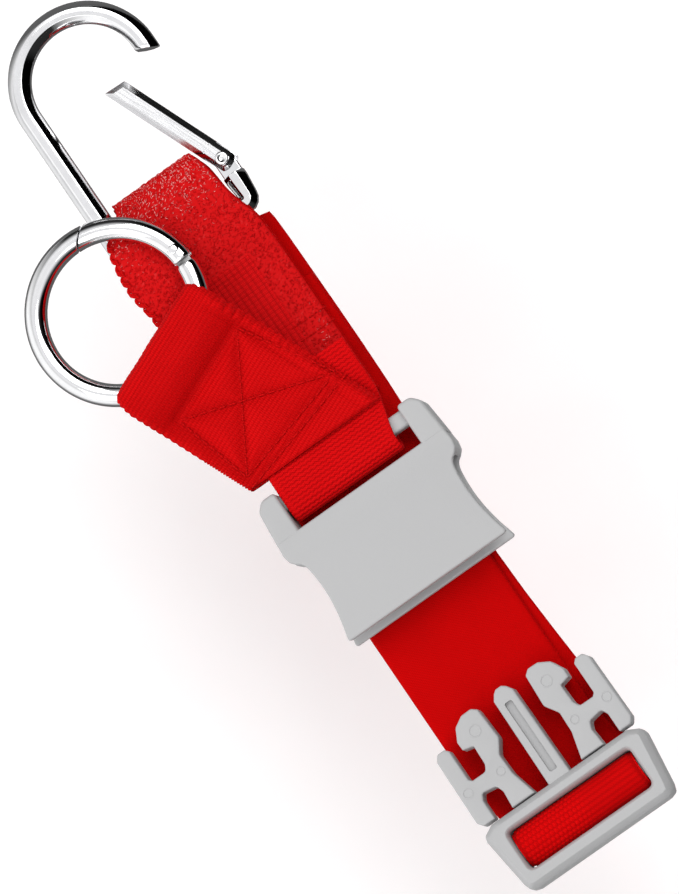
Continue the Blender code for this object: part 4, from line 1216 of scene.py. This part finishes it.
def make_latch(name, side, mats):
    """A springy arm with its button, and the round ejector marks on it."""
    outline = [(111.3, 7.3), (111.3, 14.3), (106.5, 13.9), (104.4, 14.7), (103.8, 18.6),
               (105.6, 19.5), (111.0, 19.5), (111.0, 23.0), (109.4, 24.2), (90.6, 23.9),
               (89.0, 22.7), (89.0, 20.6), (90.0, 19.6), (99.0, 19.6), (99.7, 18.8), (99.7, 14.8),
               (98.0, 13.9), (92.6, 13.7), (91.9, 16.6), (89.4, 16.7), (86.0, 14.9), (84.3, 12.0),
               (84.2, 9.0), (85.4, 7.5), (94.5, 7.0), (98.2, 9.4), (104.0, 9.2), (109.4, 7.8)]
    soft = [0.1, 0.1, 1.2, 1.2, 0.9, 0.8, 0.3, 0.8, 1.0, 1.0, 0.8, 0.5, 0.6, 0.8, 0.5, 1.2,
            1.0, 0.4, 0.35, 0.8, 1.5, 1.4, 1.0, 0.8, 2.0, 2.0, 2.0, 1.0]
    top = ARM_HIGH
    parts = [rounded_prism(on_side(outline, side), soft, ARM_LOW, top, 0.5, 0.4)]
    for x, v, r in ((89.6, 11.2, 1.5), (101.8, 21.7, 1.25), (101.9, 11.6, 1.1)):
        mark = [(0.01, top - 0.3), (r + 0.18, top - 0.3), (r + 0.16, top + 0.08), (r, top + 0.13),
                (r - 0.18, top + 0.05), (r - 0.22, top + 0.01), (0.01, top + 0.02)]
        parts.append(boss(mark, [x, BUCKLE_Y + side * v, 0]))
    add_mesh(f"buckle_{name}", *merged(parts), mats["plastic"], name, "grey_plastic", [name],
             sharp=38)


# ---------------------------------------------------------------- studio

def area(name, place, power):
    """A square light that looks at the middle of the frame."""
    light = bpy.data.lights.new(name, "AREA")
    light.shape = "RECTANGLE"
    light.size = light.size_y = 0.9
    light.energy = power
    obj = placed(name, light)
    obj.location = place
    obj.rotation_euler = (-Vector(place)).to_track_quat("-Z", "Y").to_euler()


def make_world():
    """A tent that is bright above and dark at the sides, with a white card on one side and a dark
    flag on the other, so that the chrome has something to mirror. The camera sees plain white."""
    n = Nodes("studio", "worlds")
    bpy.context.scene.world = n.owner
    back = n.tree.nodes["Background"]
    _, y, z = n.split(n.coords("Generated"))
    tent = n.add("ShaderNodeValToRGB", Fac=n.math("MULTIPLY_ADD", z, 0.5, 0.5))
    stops = ((0.0, 0.4), (0.48, 0.4), (0.50, 0.02), (0.72, 0.03), (0.80, 0.25), (0.88, 0.70),
             (0.95, 0.95), (1.0, 0.90))
    while len(tent.color_ramp.elements) < len(stops):
        tent.color_ramp.elements.new(0.5)
    for element, (place, value) in zip(tent.color_ramp.elements, stops):
        element.position = place
        element.color = (value, value, value * 1.01, 1.0)
    card = n.span(y, From_Min=-0.75, From_Max=-0.1, To_Min=1.15, To_Max=0.0)
    flag = n.span(y, From_Min=0.42, From_Max=0.62, To_Min=1.0, To_Max=0.04)
    shaded = n.mix(1.0, tent.outputs["Color"], flag, "MULTIPLY")
    n.put(n.mix(1.0, shaded, card, "LIGHTEN"), back.inputs["Color"])
    back.inputs["Strength"].default_value = 1.0
    plain = n.add("ShaderNodeBackground", Color=(0.97, 0.97, 0.975, 1.0), Strength=1.0)
    seen = n.add("ShaderNodeLightPath").outputs["Is Camera Ray"]
    both = n.add("ShaderNodeMixShader")
    for source, target in zip((seen, back.outputs[0], plain.outputs[0]), both.inputs):
        n.put(source, target)
    n.put(both.outputs[0], n.tree.nodes["World Output"].inputs["Surface"])


def make_stage(mats):
    size, z = 3.0, FLOOR_Z
    mesh = bpy.data.meshes.new("floor")
    mesh.from_pydata([(-size, -size, z), (size, -size, z), (size, size, z), (-size, size, z)], [],
                     [(0, 1, 2, 3)])
    mesh.materials.append(mats["floor"])
    floor = placed("floor", mesh)
    area("key", (-0.35, 0.45, 1.0), 7.1)
    area("fill", (0.5, -0.5, 1.0), 3.9)


def make_camera():
    target = Vector((0.0080, 0.0034, 0.0048))
    right = Vector((0.5557, 0.8128, -0.1749)).normalized()
    up = Vector((-0.8153, 0.5740, 0.0744))
    up = (up - right * up.dot(right)).normalized()
    back = right.cross(up).normalized()
    data = bpy.data.cameras.new("camera")
    data.sensor_fit = "HORIZONTAL"
    data.sensor_width, data.lens = 36.0, LENS
    data.clip_end = 50.0
    cam = placed("camera", data)
    turn = Matrix((right, up, back)).transposed().to_4x4()
    cam.matrix_world = Matrix.Translation(target + back * CAMERA_AWAY) @ turn
    bpy.context.scene.camera = cam


def main():
    bpy.context.scene.view_settings.view_transform = "Standard"
    mats = {key: fabric(*row) for key, row in FABRICS.items()}
    mats |= {
        "pile": pile_material(), "thread": thread_material(), "chrome": chrome_material(),
        "brushed": brushed_material(), "steel": steel_material("turned_steel", 0.42, 0.72),
        # steel painted near black: painted shade for the ring's tongue in its slot
        "dull": steel_material("unplated_steel", 0.10, 0.24), "plastic": plastic_material(),
        "floor": floor_material(),
    }
    for make in (make_strap, make_tacks, make_tab, make_link, make_hook, make_ring, make_socket,
                 make_plug):
        make(mats)
    make_latch("latch_arm_right", 1, mats)
    make_latch("latch_arm_left", -1, mats)
    make_stage(mats)
    make_world()
    make_camera()


main()
